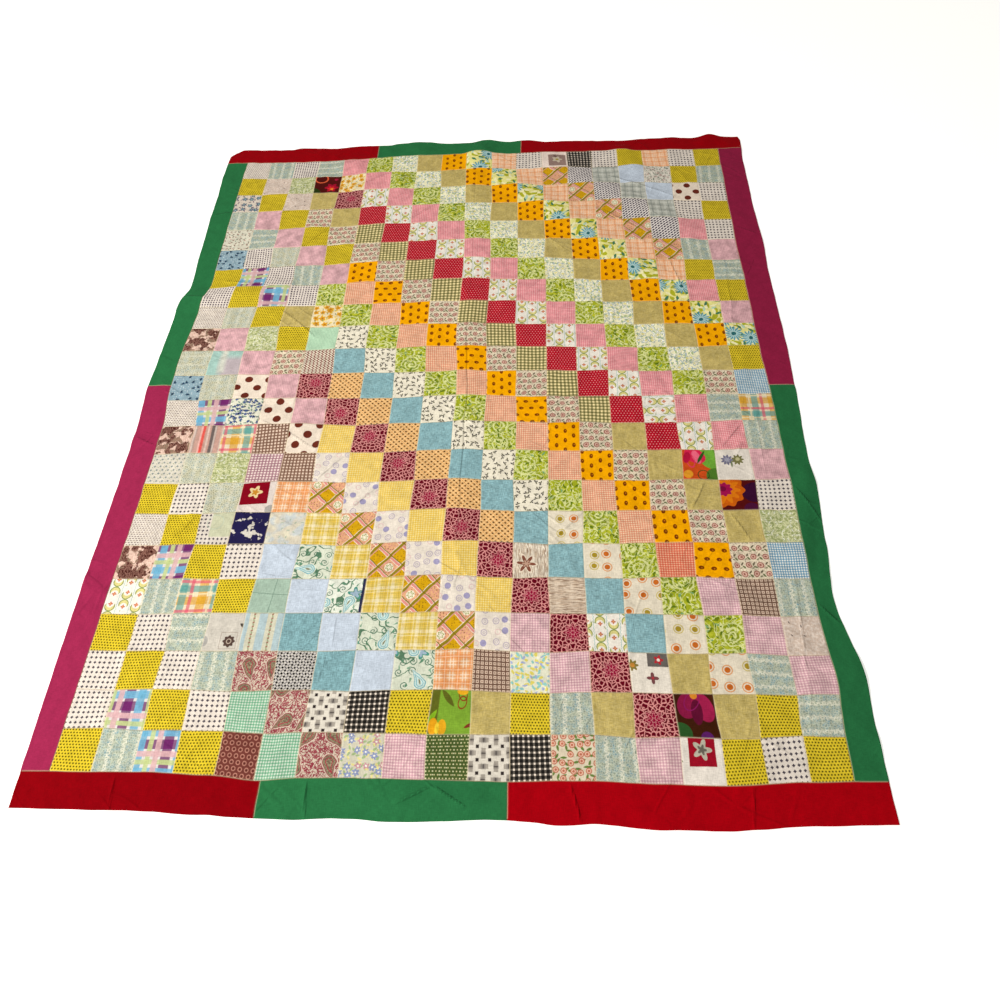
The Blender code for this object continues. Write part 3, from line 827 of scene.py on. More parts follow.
# Each fabric: its ground colour, then its prints in the order that they are laid on, in mm.
fabrics = {
    # Dots
    "mustardDot": cotton("#DFC530", staggered("disc", 2.15, (7.7, 7.3), "#5A5210")),
    "starDot": cotton("#E6DCD2", *starDots),
    "lavenderDot": cotton("#ECE2D8", spaced("box", (2.5, 3.2), (9.6, 10.4), "#544656")),
    "polka": cotton("#EEDFCF", staggered("disc", 12.6, (64, 35), "#6A2C20")),
    "redPin": cotton("#B40C26", staggered("disc", 1.8, (9.4, 8.6), "#EC9696")),
    "greenDot": cotton("#4A5C2D",
        staggered("disc", 1.7, (8, 8), "#C4BE8C"),
        spaced("box", (1.2, 1.2), (16, 8), "#DCDDB4", shift=(4, 0))),
    "rosyRing": cotton("#703A33",
        staggered("disc", 4.6, (16.6, 14.4), "#B98272", outline=2),
        staggered("disc", 1.5, (16.6, 14.4), "#4E2620")),
    "bubble": cotton("#E9DFD3",
        strewn("disc", 9, 30, "#A29CC0", scatter=0.5, share=(0, 0.34)),
        strewn("disc", 8.2, 30, "#BBB0BE", scatter=0.5, share=(0.34, 0.8), outline=2.6),
        strewn("disc", 3.4, 30, "#C2B8C2", scatter=0.5, share=(0.34, 0.8), outline=2),
        strewn("disc", 7, 30, "#E0C6C2", scatter=0.5, share=(0.8, 1), outline=3)),
    "sunDot": cotton("#E8DECA",
        strewn("disc", 12, 43, "#DF9C66", scatter=0.36, share=(0, 0.6), outline=2.9),
        strewn("disc", 7.6, 43, "#C96A26", scatter=0.36, share=(0, 0.6)),
        strewn("disc", 11.6, 43, "#CDBB72", scatter=0.36, share=(0.6, 0.94), outline=2.8),
        strewn("disc", 7.4, 43, "#AC922E", scatter=0.36, share=(0.6, 0.94))),
    "orangeBean": cotton("#F9AC00",
        staggered("oval", (5.5, 7.7), (54, 16.4), "#7C3A06"),
        staggered("disc", 1.9, (54, 16.4), "#C67A16", offset=(0.8, 1.4))),

    # Ginghams, checks, plaids and stripes
    "rosePinkCheck": cotton("#F9C0C1", *crossed("#CC5066", 6.4, 3.2), wash=2),
    "pinkGingham": cotton("#EDCCCC", *crossed("#B07890", 6.7, 3, 0.5), wash=2.6),
    "lilacPink": cotton("#E5BCBD", *crossed("#BE8298", 5.6, 2.6, 0.4), wash=3.2),
    "oliveGingham": cotton("#FBE8AC", *crossed("#464C0E", 12.4, 6.2, 0.68)),
    "coralCheck": cotton("#FADCBA", *crossed("#D87A5C", 6.9, 3.7, 0.62), wash=1.3),
    "redCoral": cotton("#FAC4A2", *crossed("#D04830", 6.9, 4, 0.64)),
    "yellowGingham": cotton("#F1E3A2", *crossed("#E2B62E", 6.8, 3.9, 0.6)),
    "blueGingham": cotton("#F0F2EC", *crossed("#3C84AA", 6.9, 3.5, 0.7)),
    "mintGingham": cotton("#D2E0D0", *crossed("#3C9A6E", 6.8, 3.2, 0.62)),
    "blackGingham": cotton("#F6E8D8", *crossed("#050405", 12.4, 7.9, 0.88)),
    "brownCheck": cotton("#7B5A4B", spaced("box", (2.9, 3.1), (10.2, 10.6), "#E2C9B6", turn=3)),
    "squareRing": cotton("#6C4F42",
        spaced("box", (3.9, 3.9), (11.4, 11.4), "#DCC4B0"),
        spaced("box", (1.7, 1.7), (11.4, 11.4), "#8E6C5C")),
    "mauveCheck": cotton("#A47A86", spaced("disc", 3.1, (9.6, 9.4), "#EEDAD4")),
    "peachPlaid": cotton("#F7BB8C",
        *plaid(27, (0, 2.4, "#FCEBDA"), (7, 1.8, "#FBE6D2"), (12.5, 1.4, "#FAE0CA"),
            (19, 2.6, "#DF8D60"), strength=0.62),
        warp=(1.2, 16)),
    "orangePlaid": cotton("#E5AB78",
        *plaid(34, (0, 3, "#FBF0E0"), (8, 2.8, "#FBF0E0"), (21, 11, "#E08748"),
            (21, 1.8, "#FAE2C4"))),
    "yellowPlaid": cotton("#E5CC6E",
        *plaid(37, (0, 7, "#F3ECD8"), (18.5, 9, "#E0B83A"), strength=0.42),
        *plaid(37, (7, 1.3, "#92884A"), (12, 1.1, "#B89A48"), (18.5, 1.3, "#85803E"),
            (25, 1.2, "#F3ECD8"), (29, 1.2, "#A08A3C"), (33, 1.3, "#F3ECD8"), strength=0.5)),
    "sagePlaid": cotton("#B6B9B0", *plaid(31, (0, 8, "#D6D8D0"), (14, 4.5, "#848C88"))),
    "sageWindow": cotton("#A2BAAA",
        placed("box", (0.8, 90), (8, 0), "#5E7A6C", turn=4, strength=0.8),
        placed("box", (90, 0.8), (0, 6), "#5E7A6C", turn=4, strength=0.8)),
    "brightPlaid": cotton("#DDD8D6",
        *plaid(98, (0, 24, "#6C1A66"), (30, 20, "#6CAED0"), (54, 12, "#BECB8A"),
            (74, 14, "#D8AEB2"), strength=0.86)),
    "madras": cotton("#E6D8BC",
        *plaid(88, (0, 24, "#D89E06"), (36, 19, "#4F9E9A"), (-31, 9, "#D85470"), (20, 5, "#EBDCB4"),
            strength=0.72)),
    "coralStripe": cotton("#C49C90",
        over("bars", 92, "#DE5A52", line=15, middle=-12, soft=2),
        over("bars", 92, "#6C605E", line=17, middle=24, soft=2),
        over("bars", 92, "#A3968F", line=9, middle=-38, soft=2, strength=0.7),
        over("bars", 23, "#EBD6CC", line=6, middle=6, soft=1.5, strength=0.6)),
    "mintStripe": cotton("#BFDFC1", over("bars", 5, "#A7D0B0", line=2)),
    "woodStripe": cotton("#CCB49C",
        over("strand", 5, "#8F7563", line=1.5, stretch=(0.5, 8)),
        over("strand", 6, "#E4D2BE", line=1.5, stretch=(0.5, 7), seed=4)),
    "floralStripe": cotton("#D0CDB8",
        over("bars", 46, "#AEC2C8", line=21, middle=23, soft=1),
        spaced("disc", 2.8, (46, 11), "#A07868"),
        spaced("leaf", (5, 1.8), (46, 11), "#9AA380", shift=(0, 5.5), turn=60)),
    "greyTweed": cotton("#F6EFEA", staggered("box", (5.2, 2.7), (13, 8.8), "#3A3246", lean=-40)),
    "blackTick": cotton("#CEC9C2",
        staggered("box", (1.6, 4.4), (22, 11), "#7E7A7E", lean=45),
        staggered("box", (4.4, 1.6), (22, 11), "#5C5860", lean=45, shift=(11, 0)),
        spaced("box", (2.7, 2.7), (11, 11), "#060508", lean=45, shift=(5.5, 5.5))),
    "apricotTick": cotton("#F4C98E",
        over("bars", 8.84, "#D0883C", line=2, turn=45, strength=0.6),
        over("bars", 8.84, "#D0883C", line=2, turn=-45, strength=0.6),
        staggered("oval", (3.3, 2.6), (17.6, 8.8), "#62421C", turn=24)),
    "basketweave": cotton("#DFD8CC",
        staggered("box", (12, 5.4), (61, 29.5), "#A8A096"),
        staggered("box", (4.6, 5.4), (61, 29.5), "#7A7470", soft=3),
        staggered("box", (5.4, 12), (61, 29.5), "#A8A096", shift=(30.5, 0)),
        staggered("box", (5.4, 3.6), (61, 29.5), "#857E78", shift=(30.5, 0), soft=2.4),
        staggered("box", (5.6, 0.8), (61, 29.5), "#2A2224", shift=(30.5, 0)),
        staggered("box", (0.8, 5), (61, 29.5), "#2A2224"),
        spaced("box", (3.9, 3.9), (30.5, 29.5), "#342C2C", shift=(15.25, 14.75))),

    # Plain cloth
    "khakiLinen": cotton("#C4AF64",
        over("strand", 3.2, "#8E7E44", line=1.1, stretch=(0.5, 6), strength=0.36),
        over("strand", 3.2, "#DDCD94", line=1.1, stretch=(6, 0.5), seed=5, strength=0.36),
        slub=1.3, wash=1.6),
    "skyCotton": cotton("#93BBC2",
        over("strand", 3.4, "#6E98A4", line=1.1, stretch=(6, 0.5), strength=0.5),
        slub=2.2, wash=1.4),
    "tealCotton": cotton("#80A9B1", slub=2.4, wash=1.5),
    "paleBlue": cotton("#C4D0E0", slub=1.2),
    "palePink": cotton("#D0BCAE",
        over("blot", 7, "#E2D3C8", cover=0.46, soft=2),
        strewn("leaf", (4, 1.6), 34, "#6E605E", share=(0, 0.6)),
        wash=1.6),
    "creamSpeck": cotton("#EBE2D6",
        staggered("oval", (2.8, 1.8), (8.4, 6.6), "#7C686C"),
        over("blot", 9, "#D3C7B8", cover=0.44, soft=2, strength=0.6)),
    "aquaLilac": cotton("#A8CCC4",
        placed("box", (38, 44), (26, -22), "#BCB0B6", soft=12),
        placed("box", (9, 70), (-8, 30), "#D4D6CA", soft=7)),

    # Small flowers and sprigs
    "rosebud": cotton("#EADCC2",
        over("strand", 9, "#A08F80", line=1.2, strength=0.7),
        staggered("leaf", (6.4, 2.5), (32, 24), "#66704A", shift=(13, 5), turn=38),
        staggered("leaf", (6, 2.3), (32, 24), "#6C6450", shift=(17, -4.5), turn=-52),
        staggered("leaf", (4.4, 1.7), (32, 24), "#7A7C5C", shift=(-11, 7.5), turn=-20),
        staggered("disc", 8, (32, 24), "#B98072"),
        staggered("disc", 7.3, (32, 24), "#92564E", outline=1.6),
        staggered("disc", 4.4, (32, 24), "#E4C4B2", outline=1.6),
        staggered("disc", 1.9, (32, 24), "#8A524A"),
        warp=(3.6, 26)),
    "coralRose": cotton("#DDD0B8",
        strewn("leaf", (8, 2.8), 15, "#66803E"),
        strewn("disc", 7.4, 19.5, "#BE705A", scatter=0.45, share=(0, 0.85)),
        strewn("disc", 4, 19.5, "#EDC4AC", scatter=0.45, share=(0, 0.85), outline=2)),
    "blackSprig": cotton("#F0E9D6",
        strewn("leaf", (4.8, 2.1), 17.5, "#4A4646", offset=(3.2, 2)),
        strewn("leaf", (4.6, 2), 17.5, "#6C6A54", offset=(-3.4, 1.2)),
        strewn("disc", 2.2, 17.5, "#3A3436", offset=(0, -2.6))),
    "brownSprig": cotton("#DCD8C6",
        strewn("leaf", (4.8, 2), 14.5, "#7C6458", share=(0, 0.6)),
        strewn("leaf", (4, 1.5), 16.5, "#7F8F82", share=(0, 0.7)),
        strewn("disc", 1.9, 19, "#B4766C")),
    "greySprig": cotton("#D8D2C4",
        staggered("blossom", 2.9, (17, 12.5), "#7F8B8C", petals=4),
        staggered("leaf", (3.2, 1.1), (17, 12.5), "#9AA384", shift=(6, 3), turn=40)),
    "blueSprig": cotton("#DCD0C2",
        strewn("blossom", 9.5, 31, "#54707F", petals=6, scatter=0.6),
        strewn("disc", 3.6, 31, "#9DB2B6", scatter=0.6),
        strewn("leaf", (6.4, 2.6), 16, "#7F6C7C", share=(0, 0.7)),
        warp=(2, 12)),
    "navySprig": cotton("#E3E2D0",
        strewn("leaf", (6, 2.4), 12, "#7F9A86", share=(0, 0.7)),
        strewn("blossom", 4.8, 14.5, "#45578A", petals=5, share=(0, 0.78)),
        strewn("leaf", (4.8, 2), 15.5, "#262F52", share=(0, 0.65)),
        warp=(1.5, 9)),
    "greyFloral": cotton("#D9D2C6",
        strewn("leaf", (9, 3.8), 14, "#858C80"),
        strewn("blossom", 6, 24, "#AE928C", petals=5),
        over("strand", 9, "#EBE6DA", line=1.8),
        warp=(2, 12)),
    "yellowFloral": cotton("#F4E4BE",
        strewn("leaf", (8, 3.2), 15, "#EACB66", share=(0, 0.7)),
        strewn("blossom", 9.5, 25, "#E2A62E", petals=5, depth=0.2, share=(0, 0.75)),
        strewn("disc", 3.2, 25, "#BB6F26", share=(0, 0.75)),
        strewn("leaf", (5, 1.7), 21, "#8E9468", share=(0, 0.6)),
        warp=(2.5, 14)),
    "blueCalico": cotton("#8FAAB8",
        strewn("disc", 1.6, 8, "#CBD8DE", share=(0, 0.5)),
        strewn("blossom", 4.4, 20, "#24405C", petals=5, share=(0, 0.8)),
        strewn("leaf", (4.4, 1.6), 20, "#2C3E44", offset=(5, 3), share=(0, 0.8))),
    "tulip": cotton("#F2ECE2",
        over("bars", 35, "#9CC4C2", line=1.7, middle=17.5, wave=(0.9, 9)),
        strewn("leaf", (6.5, 1.3), 27, "#A3AE80", share=(0, 0.5)),
        *melonSlices),
    "roseColumn": cotton("#F4E4D2",
        over("bars", 12, "#7C443A", line=5.2, wave=(2.6, 10)),
        over("bars", 12, "#869078", line=1.8, middle=6, wave=(1.2, 8), strength=0.8)),
    "pastelFloral": cotton("#D2CEBA",
        strewn("leaf", (6.4, 2.8), 12, "#A3B886", share=(0, 0.65)),
        strewn("leaf", (6, 2.6), 14, "#E4DA92", share=(0, 0.6)),
        strewn("blossom", 7.6, 19, "#8E98BE", petals=6, share=(0, 0.5)),
        strewn("blossom", 6.6, 19, "#C8949E", petals=5, share=(0.5, 0.78)),
        strewn("disc", 2.4, 19, "#F0EFE6", share=(0, 0.78)),
        warp=(2, 12)),

    # Leaves and all-over prints
    "limeLeaf": cotton("#A4AE26",
        strewn("leaf", (12, 5), 18, "#6C7E14", share=(0, 0.75)),
        strewn("leaf", (11, 4), 17, "#BAC034", share=(0, 0.6)),
        strewn("leaf", (9, 3.2), 18, "#DBDF92", share=(0, 0.5)),
        strewn("leaf", (8, 3), 27, "#7CA876", share=(0, 0.5)),
        strewn("disc", 34, 86, "#7F901C", scatter=0.5, soft=6, strength=0.7),
        strewn("spiral", 13, 86, "#DCE19A", line=5, scatter=0.5, soft=1.2,
            within=strewn("disc", 36, 86, scatter=0.5, soft=4)),
        strewn("leaf", (8, 3), 14, "#B4BC30", share=(0, 0.45)),
        strewn("leaf", (9, 2.8), 20, "#5F781A", share=(0, 0.45)),
        over("strand", 17, "#E0E49E", line=1.8),
        warp=(5, 20)),
    "paleLeaf": cotton("#D4D6A8",
        strewn("leaf", (8, 3), 12.5, "#A3AC72", share=(0, 0.75)),
        strewn("leaf", (7, 2.4), 14, "#E8EAD4", share=(0, 0.7)),
        over("strand", 7, "#929C68", line=1.4, strength=0.8),
        warp=(2, 12)),
    "paleFloral": cotton("#F7F3CC",
        strewn("leaf", (8, 3.2), 14, "#A8BC8C", share=(0, 0.5)),
        strewn("blossom", 9.5, 26, "#A0B2BA", petals=5, outline=2.8),
        strewn("disc", 4.4, 26, "#E6DC94"),
        strewn("leaf", (6.4, 2.4), 17, "#A9BBC2", share=(0, 0.5)),
        strewn("leaf", (6, 2.2), 16, "#FBFAF0", share=(0, 0.6)),
        warp=(2.5, 15)),
    "vineLace": cotton("#AEB8A4",
        over("blot", 14, "#84A4AC", cover=0.48, soft=5),
        over("blot", 6, "#8A9484", cover=0.44, soft=1.5, seed=3, strength=0.8),
        over("net", 6, "#D6D8C4", line=1.5, strength=0.6),
        over("net", 6.5, "#E6E4D2", line=2.2, strength=0.8,
            within=over("bars", 34, line=10, wave=(2, 13), soft=1.5)),
        over("bars", 34, "#DFDECB", line=2, wave=(3.4, 13), soft=0.8, strength=0.8),
        warp=(2, 12)),
    "paleVine": cotton("#A8A688",
        over("blot", 16, "#A0AEAA", cover=0.5, soft=6),
        over("net", 6.5, "#DEDCC4", line=2, strength=0.8),
        over("bars", 36, "#DCDAC8", line=6, wave=(2.6, 11), soft=2, strength=0.6),
        warp=(2, 14)),
    "blueDaisy": cotton("#EEE896",
        strewn("leaf", (19, 8), 27, "#B4B62C", share=(0, 0.8)),
        strewn("leaf", (14, 5), 25, "#F8F2C2", share=(0, 0.75)),
        strewn("leaf", (12, 4.6), 33, "#4A8060", share=(0, 0.75)),
        strewn("leaf", (12, 4.6), 35, "#BAD8C0", share=(0, 0.6)),
        strewn("blossom", 27, 112, "#5698AC", petals=15, depth=0.24, soft=1.8, scatter=0.6),
        strewn("blossom", 19, 112, "#B4D4D2", petals=15, depth=0.5, twist=1.6, scatter=0.6),
        strewn("disc", 7.5, 112, "#2F6A70", scatter=0.6),
        warp=(4, 24)),
    "damask": cotton("#620319",
        over("net", 11, "#E29896", line=2.3, scatter=1),
        strewn("disc", 1.8, 11, "#DE9492", share=(0, 0.4)),
        placed("blossom", 22, (0, 0), "#7A0828", petals=8, depth=0.2),
        over("net", 8.4, "#D07C84", line=1.6, scatter=0.9,
            within=placed("blossom", 20, (0, 0), petals=8, depth=0.2)),
        placed("blossom", 22.5, (0, 0), "#E2A09C", petals=8, depth=0.2, outline=2.2),
        placed("blossom", 13.5, (0, 0), "#940E38", petals=8, depth=0.25),
        placed("blossom", 13.5, (0, 0), "#DC8C90", petals=8, depth=0.25, outline=1.7),
        placed("blossom", 5.5, (0, 0), "#E29A9C", petals=6, depth=0.3, outline=1.8),
        warp=(2.4, 10)),
    "trellis": cotton("#E6AE84",
        strewn("disc", 2.4, 8.4, "#CF8C84", strength=0.8),
        staggered("box", (19.4, 19.4), (92, 46), "#D4A414", lean=45),
        strewn("disc", 1.6, 7.4, "#7E5A1E", strength=0.8, share=(0, 0.6)),
        spaced("disc", 12, (92, 92), "#F0E6D0", lean=45, shift=(46, 0)),
        spaced("blossom", 7, (92, 92), "#8A9A44", lean=45, shift=(46, 0), petals=6, outline=2.6),
        over("bars", 46, "#F6EAD6", line=11, middle=23, turn=45),
        over("bars", 46, "#DE8F88", line=6.6, middle=22.4, turn=45),
        over("bars", 46, "#F6EAD6", line=11, middle=23, turn=-45),
        over("bars", 46, "#94801E", line=8, middle=23, turn=-45),
        over("bars", 46, "#DE8F88", line=2.2, middle=28.2, turn=-45),
        over("bars", 46, "#7D6A14", line=2.6, middle=28, turn=45),
        warp=(2.6, 34)),
    "tealScroll": cotton("#D6DCCA", *scrolls, warp=(1.5, 14)),
    "tealScrollJoin": cotton("#E4E9DC",
        *scrolls,
        placed("box", (5, 90), (47, 0), "#2A2C4E"),
        warp=(1.5, 14)),
    "redPaisley": cotton("#D2C2B0",
        over("strand", 7.5, "#984A52", line=2.1),
        strewn("spiral", 4.6, 16, "#8E3040", line=1.9, within=strewn("disc", 6.2, 16)),
        *nested(66, ((20, 46, 11), "#D2C2B0"), ((17.4, 42, 10), "#8E3444"),
                ((15, 38, 9), "#948A6E"), scatter=0.4, offset=(-14, 0)),
        over("strand", 6, "#6E5A4C", line=1.6, seed=3,
            within=strewn("drop", (14, 36, 9), 66, scatter=0.4, offset=(-14, 0))),
        strewn("drop", (8, 24, 6), 66, "#A23848", scatter=0.4, offset=(-14, 0), outline=2),
        warp=(2.5, 16)),
    "brownToile": cotton("#F0D2C2",
        over("blot", 32, "#84725F", cover=0.46, detail=3, soft=1, stretch=(1, 0.8)),
        over("blot", 34, "#3E110E", cover=0.5, detail=3, soft=1, seed=2),
        over("strand", 4, "#B58778", line=1.1, stretch=(0.6, 3), strength=0.6),
        warp=(3, 12)),
    "navyBlotch": cotton("#D8D2C8",
        over("blot", 36, "#231F4A", cover=0.605, detail=3, soft=1),
        warp=(4, 12)),
    "waterColour": cotton("#D6CEBC",
        over("blot", 34, "#C2CCD2", cover=0.46, soft=6, strength=0.8),
        over("blot", 30, "#E2DCC2", cover=0.41, soft=6, seed=4, strength=0.7),
        strewn("leaf", (5, 1.8), 19, "#AEBBAA", share=(0, 0.4))),
    "aquaYellow": cotton("#E6E6D0",
        strewn("leaf", (7.5, 3.4), 12, "#E0D36A", share=(0, 0.6)),
        strewn("leaf", (7.5, 3.4), 13.5, "#94CCC8", share=(0, 0.55)),
        strewn("leaf", (6, 2.6), 15.5, "#A4B0DA", share=(0, 0.5)),
        warp=(4, 15)),

    # Large flowers
    "greenTulip": cotton("#7CA434",
        placed("box", (15, 60), (-44, 10), "#5F6420", soft=1.5),
        placed("leaf", (26, 7), (-30, 14), "#5F6420", turn=50),
        placed("leaf", (22, 6), (-34, 30), "#80AE24", turn=-60),
        placed("oval", (11, 19), (-38, -34), "#E3A01C"),
        placed("oval", (10, 18), (-17, -36), "#E8AC22"),
        placed("oval", (5, 13), (-28, -38), "#F2CE3A"),
        placed("oval", (10, 15), (22, 28), "#8A3A1C", outline=2.4, turn=14),
        placed("oval", (10, 14), (38, 32), "#8A3A1C", outline=2.4, turn=-14),
        placed("oval", (14, 8), (28, 48), "#E8AC22"),
        placed("leaf", (14, 4), (30, -48), "#7A3222", turn=-24),
        warp=(2, 14)),
    "darkBloom": cotton("#50120F",
        placed("disc", 30, (-52, -52), "#2A3A12"),
        placed("disc", 24, (-26, 36), "#D9603C", outline=6),
        placed("blossom", 23, (18, -20), "#A5102E", petals=6, depth=0.22),
        placed("blossom", 13, (18, -26), "#D42A2C", petals=6, depth=0.3),
        placed("disc", 6, (20, -30), "#EE8A30"),
        placed("disc", 7, (30, 32), "#9C1D3E")),
    "hotBloom": cotton("#CC4E1C",
        placed("disc", 46, (48, 30), "#6FA83A"),
        placed("disc", 26, (44, -38), "#4F7A2A"),
        placed("oval", (34, 24), (-24, 22), "#D9254F", turn=28),
        placed("oval", (12, 24), (4, 26), "#F06A86", turn=-22),
        placed("oval", (12, 24), (-22, 18), "#E53A62", turn=-10, outline=2.2),
        placed("oval", (11, 20), (-40, 14), "#B9163F", turn=14),
        placed("disc", 14, (-34, -34), "#E39A2A"),
        placed("disc", 16, (10, -36), "#2F4A1C", outline=2.6),
        placed("leaf", (26, 5), (26, 6), "#2F5A20", turn=-62)),
    "dahlia": cotton("#540E10",
        placed("disc", 34, (44, 8), "#360C30"),
        placed("disc", 20, (30, -48), "#4A1238"),
        placed("blossom", 56, (-40, 16), "#CC5F0E", petals=11, depth=0.07),
        placed("blossom", 40, (-40, 16), "#E07A12", petals=11, depth=0.2),
        placed("blossom", 22, (-40, 18), "#A31250", petals=9, depth=0.12),
        placed("disc", 9, (-42, 20), "#7A0C3C")),
    "plumBloom": cotton("#3E1C0C",
        placed("disc", 27, (-44, -44), "#2C5528"),
        placed("disc", 15, (18, -52), "#5A1F66"),
        placed("oval", (27, 34), (-26, 14), "#8A1A44", turn=30),
        placed("oval", (25, 36), (26, 10), "#A0204C", turn=-24),
        placed("oval", (14, 30), (2, 8), "#5E1030"),
        placed("oval", (16, 24), (-26, 22), "#8A1C60", turn=38, outline=2),
        placed("disc", 9, (0, 48), "#D9882A")),

    # White cloth with a small pieced picture: here a plain flower, star or leaf in each field.
    "fieldGrey": cotton("#F2E0D6",
        placed("box", (34, 38), (10, -6), "#9A8078"),
        placed("blossom", 17, (10, -4), "#C9BCA8", petals=5, depth=0.25),
        placed("disc", 6, (10, -4), "#A9953F"),
        placed("leaf", (9, 3.6), (-6, 18), "#4A2C2E", turn=30)),
    "fieldSprays": cotton("#E6DED4",
        placed("blossom", 15, (-18, 16), "#77748C", petals=9, depth=0.2),
        placed("blossom", 8, (-18, 16), "#A3A2B4", petals=7, depth=0.3),
        placed("blossom", 15, (12, 16), "#77744A", petals=9, depth=0.2),
        placed("disc", 6, (12, 18), "#B9B48A"),
        placed("leaf", (12, 2.6), (-2, -6), "#7A8460", turn=90)),
    "fieldRed": cotton("#DCD0CA",
        placed("box", (40, 37), (-8, 12), "#84061C", turn=-3),
        placed("blossom", 17, (-8, 16), "#E6CF9A", petals=5, depth=0.28),
        placed("blossom", 9, (-8, 16), "#C98A2E", petals=5, depth=0.28),
        placed("disc", 16, (46, -44), "#A8A4A0")),
    "fieldPot": cotton("#CCC6BC",
        placed("blossom", 15, (20, -26), "#54423C", petals=8, depth=0.12),
        placed("disc", 6, (20, -26), "#C9B8A8", outline=2),
        placed("box", (22, 22), (18, -24), "#8A7468", outline=1.6, strength=0.6),
        placed("leaf", (12, 5), (36, 40), "#4C4640", turn=30),
        placed("disc", 15, (-52, -26), "#A9A6A2")),
    "fieldPair": cotton("#EAE2D6",
        placed("box", (27, 20), (24, 36), "#68625E"),
        placed("blossom", 10, (26, 34), "#B52A34", petals=5, depth=0.3),
        placed("disc", 4, (26, 34), "#F0E6DA"),
        placed("blossom", 11, (6, -14), "#7A4A4C", petals=4, depth=0.4),
        placed("disc", 3, (6, -14), "#B5323E"),
        placed("blossom", 13, (-42, 18), "#8A7A3C", petals=7, depth=0.25),
        placed("disc", 6, (-42, 18), "#C98A3C")),
    "fieldStar": cotton("#EBE3DA",
        placed("box", (32, 31), (0, 20), "#9C1026"),
        placed("blossom", 18, (0, 26), "#B9B4A4", petals=5, depth=0.35),
        placed("blossom", 9, (0, 26), "#6B665C", petals=5, depth=0.35),
        placed("leaf", (8, 2.4), (-42, -32), "#6A7A58", turn=40)),
    "dotJoin": cotton("#DCD2C8",
        *starDots,
        placed("box", (33, 42), (19, 14), "#C4C6AA", soft=1),
        placed("disc", 24, (-2, 20), "#B7C4B2", outline=2.4, strength=0.7)),
    "woodStar": cotton("#D2BEA6",
        over("strand", 5, "#8F7563", line=1.5, stretch=(0.5, 8)),
        over("strand", 6, "#EDE3D2", line=1.5, stretch=(0.5, 7), seed=4),
        placed("blossom", 23, (-12, -10), "#EBDCC8", petals=6, depth=0.42, twist=0.6),
        placed("blossom", 18, (-12, -10), "#83503F", petals=6, depth=0.5, twist=0.6),
        placed("blossom", 8, (-12, -10), "#C7A18C", petals=6, depth=0.5, twist=0.6)),
}

# The fabrics run in diagonals: the key is the column less the row, and each diagonal starts
# at its far left end.
diagonals = {
    18: "mustardDot",
    17: "starDot vineLace",
    16: "peachPlaid mustardDot starDot",
    15: "mustardDot greyFloral polka mustardDot",
    14: "starDot paleBlue*2 starDot*2",
    13: "blackGingham sagePlaid*3 rosePinkCheck lilacPink",
    12: "fieldGrey greyTweed*4 vineLace*2",
    11: "starDot trellis*5 mustardDot*2",
    10: "peachPlaid*7 rosePinkCheck lilacPink",
    9: "blueDaisy*10",
    8: "orangeBean*10 mustardDot",
    7: "khakiLinen*11 blueGingham",
    6: "paleFloral*11 rosebud madras",
    5: "limeLeaf*12 vineLace*2",
    4: "rosePinkCheck*14 lilacPink",
    3: "vineLace yellowFloral tulip*12 fieldSprays starDot",
    2: "lavenderDot darkBloom damask redPin*11 hotBloom dahlia paleLeaf",
    1: "vineLace paleLeaf khakiLinen*2 oliveGingham*9 khakiLinen*4 blueGingham",
    0: "creamSpeck palePink*2 rosebud*15 vineLace",
    -1: "mustardDot*5 orangeBean*12 squareRing palePink",
    -2: "blueSprig lilacPink*4 coralCheck*10 redCoral pinkGingham*3",
    -3: "vineLace*2 paleVine vineLace limeLeaf*13 vineLace*2",
    -4: "brownSprig lavenderDot*3 yellowFloral blackSprig*7 sunDot*5 mustardDot*2",
    -5: "blueCalico brightPlaid*2 khakiLinen mintStripe skyCotton*10 khakiLinen*2 starDot",
    -6: "mustardDot*4 roseColumn apricotTick*6 woodStar woodStripe tulip fieldPair plumBloom "
        "mustardDot",
    -7: "lavenderDot paleVine paleLeaf rosebud damask*11 fieldStar",
    -8: "creamSpeck lilacPink*4 yellowGingham*6 pinkGingham*2 khakiLinen pinkGingham",
    -9: "brownToile aquaLilac polka*3 bubble*6 aquaYellow vineLace*2",
    -10: "paleVine*2 navySprig brownCheck*2 trellis*5 squareRing mustardDot coralRose",
    -11: "blueCalico brightPlaid madras mauveCheck orangePlaid yellowPlaid*4 orangePlaid "
         "khakiLinen blackGingham",
    -12: "creamSpeck coralStripe paleLeaf fieldRed waterColour tealScroll tealScrollJoin "
         "tealScroll*2 greenTulip basketweave",
    -13: "brownToile paleVine*2 navyBlotch paleBlue*4 mustardDot greenDot",
    -14: "greySprig starDot dotJoin starDot sageWindow tealCotton*2 blackGingham pinkGingham",
    -15: "mustardDot*4 floralStripe blackTick basketweave pastelFloral",
    -16: "creamSpeck brightPlaid madras fieldPot redPaisley*3",
    -17: "brownToile vineLace*3 mintGingham*2",
    -18: "tulip starDot*3 rosyRing",
    -19: "mustardDot*4",
    -20: "starDot brightPlaid*2",
    -21: "starDot vineLace",
    -22: "mustardDot",
}

# Patches, by (row, column), whose cloth was cut with its stripes or rows lying across.
sideways = {(0, 3), (4, 1), (6, 18), (7, 6), (10, 0), (10, 9), (12, 11), (12, 15), (12, 17),
            (17, 16), (18, 12), (19, 2), (20, 17), (21, 18)}
patchLoose = {
    "tilt": 1.2,                # degrees, its usual size
    "shift": 400.0,             # mm, so that no two patches show the same part of a print
    "damask": 0.03,             # share of that shift by which a damask flower is off the middle
    "seed": 7,
}


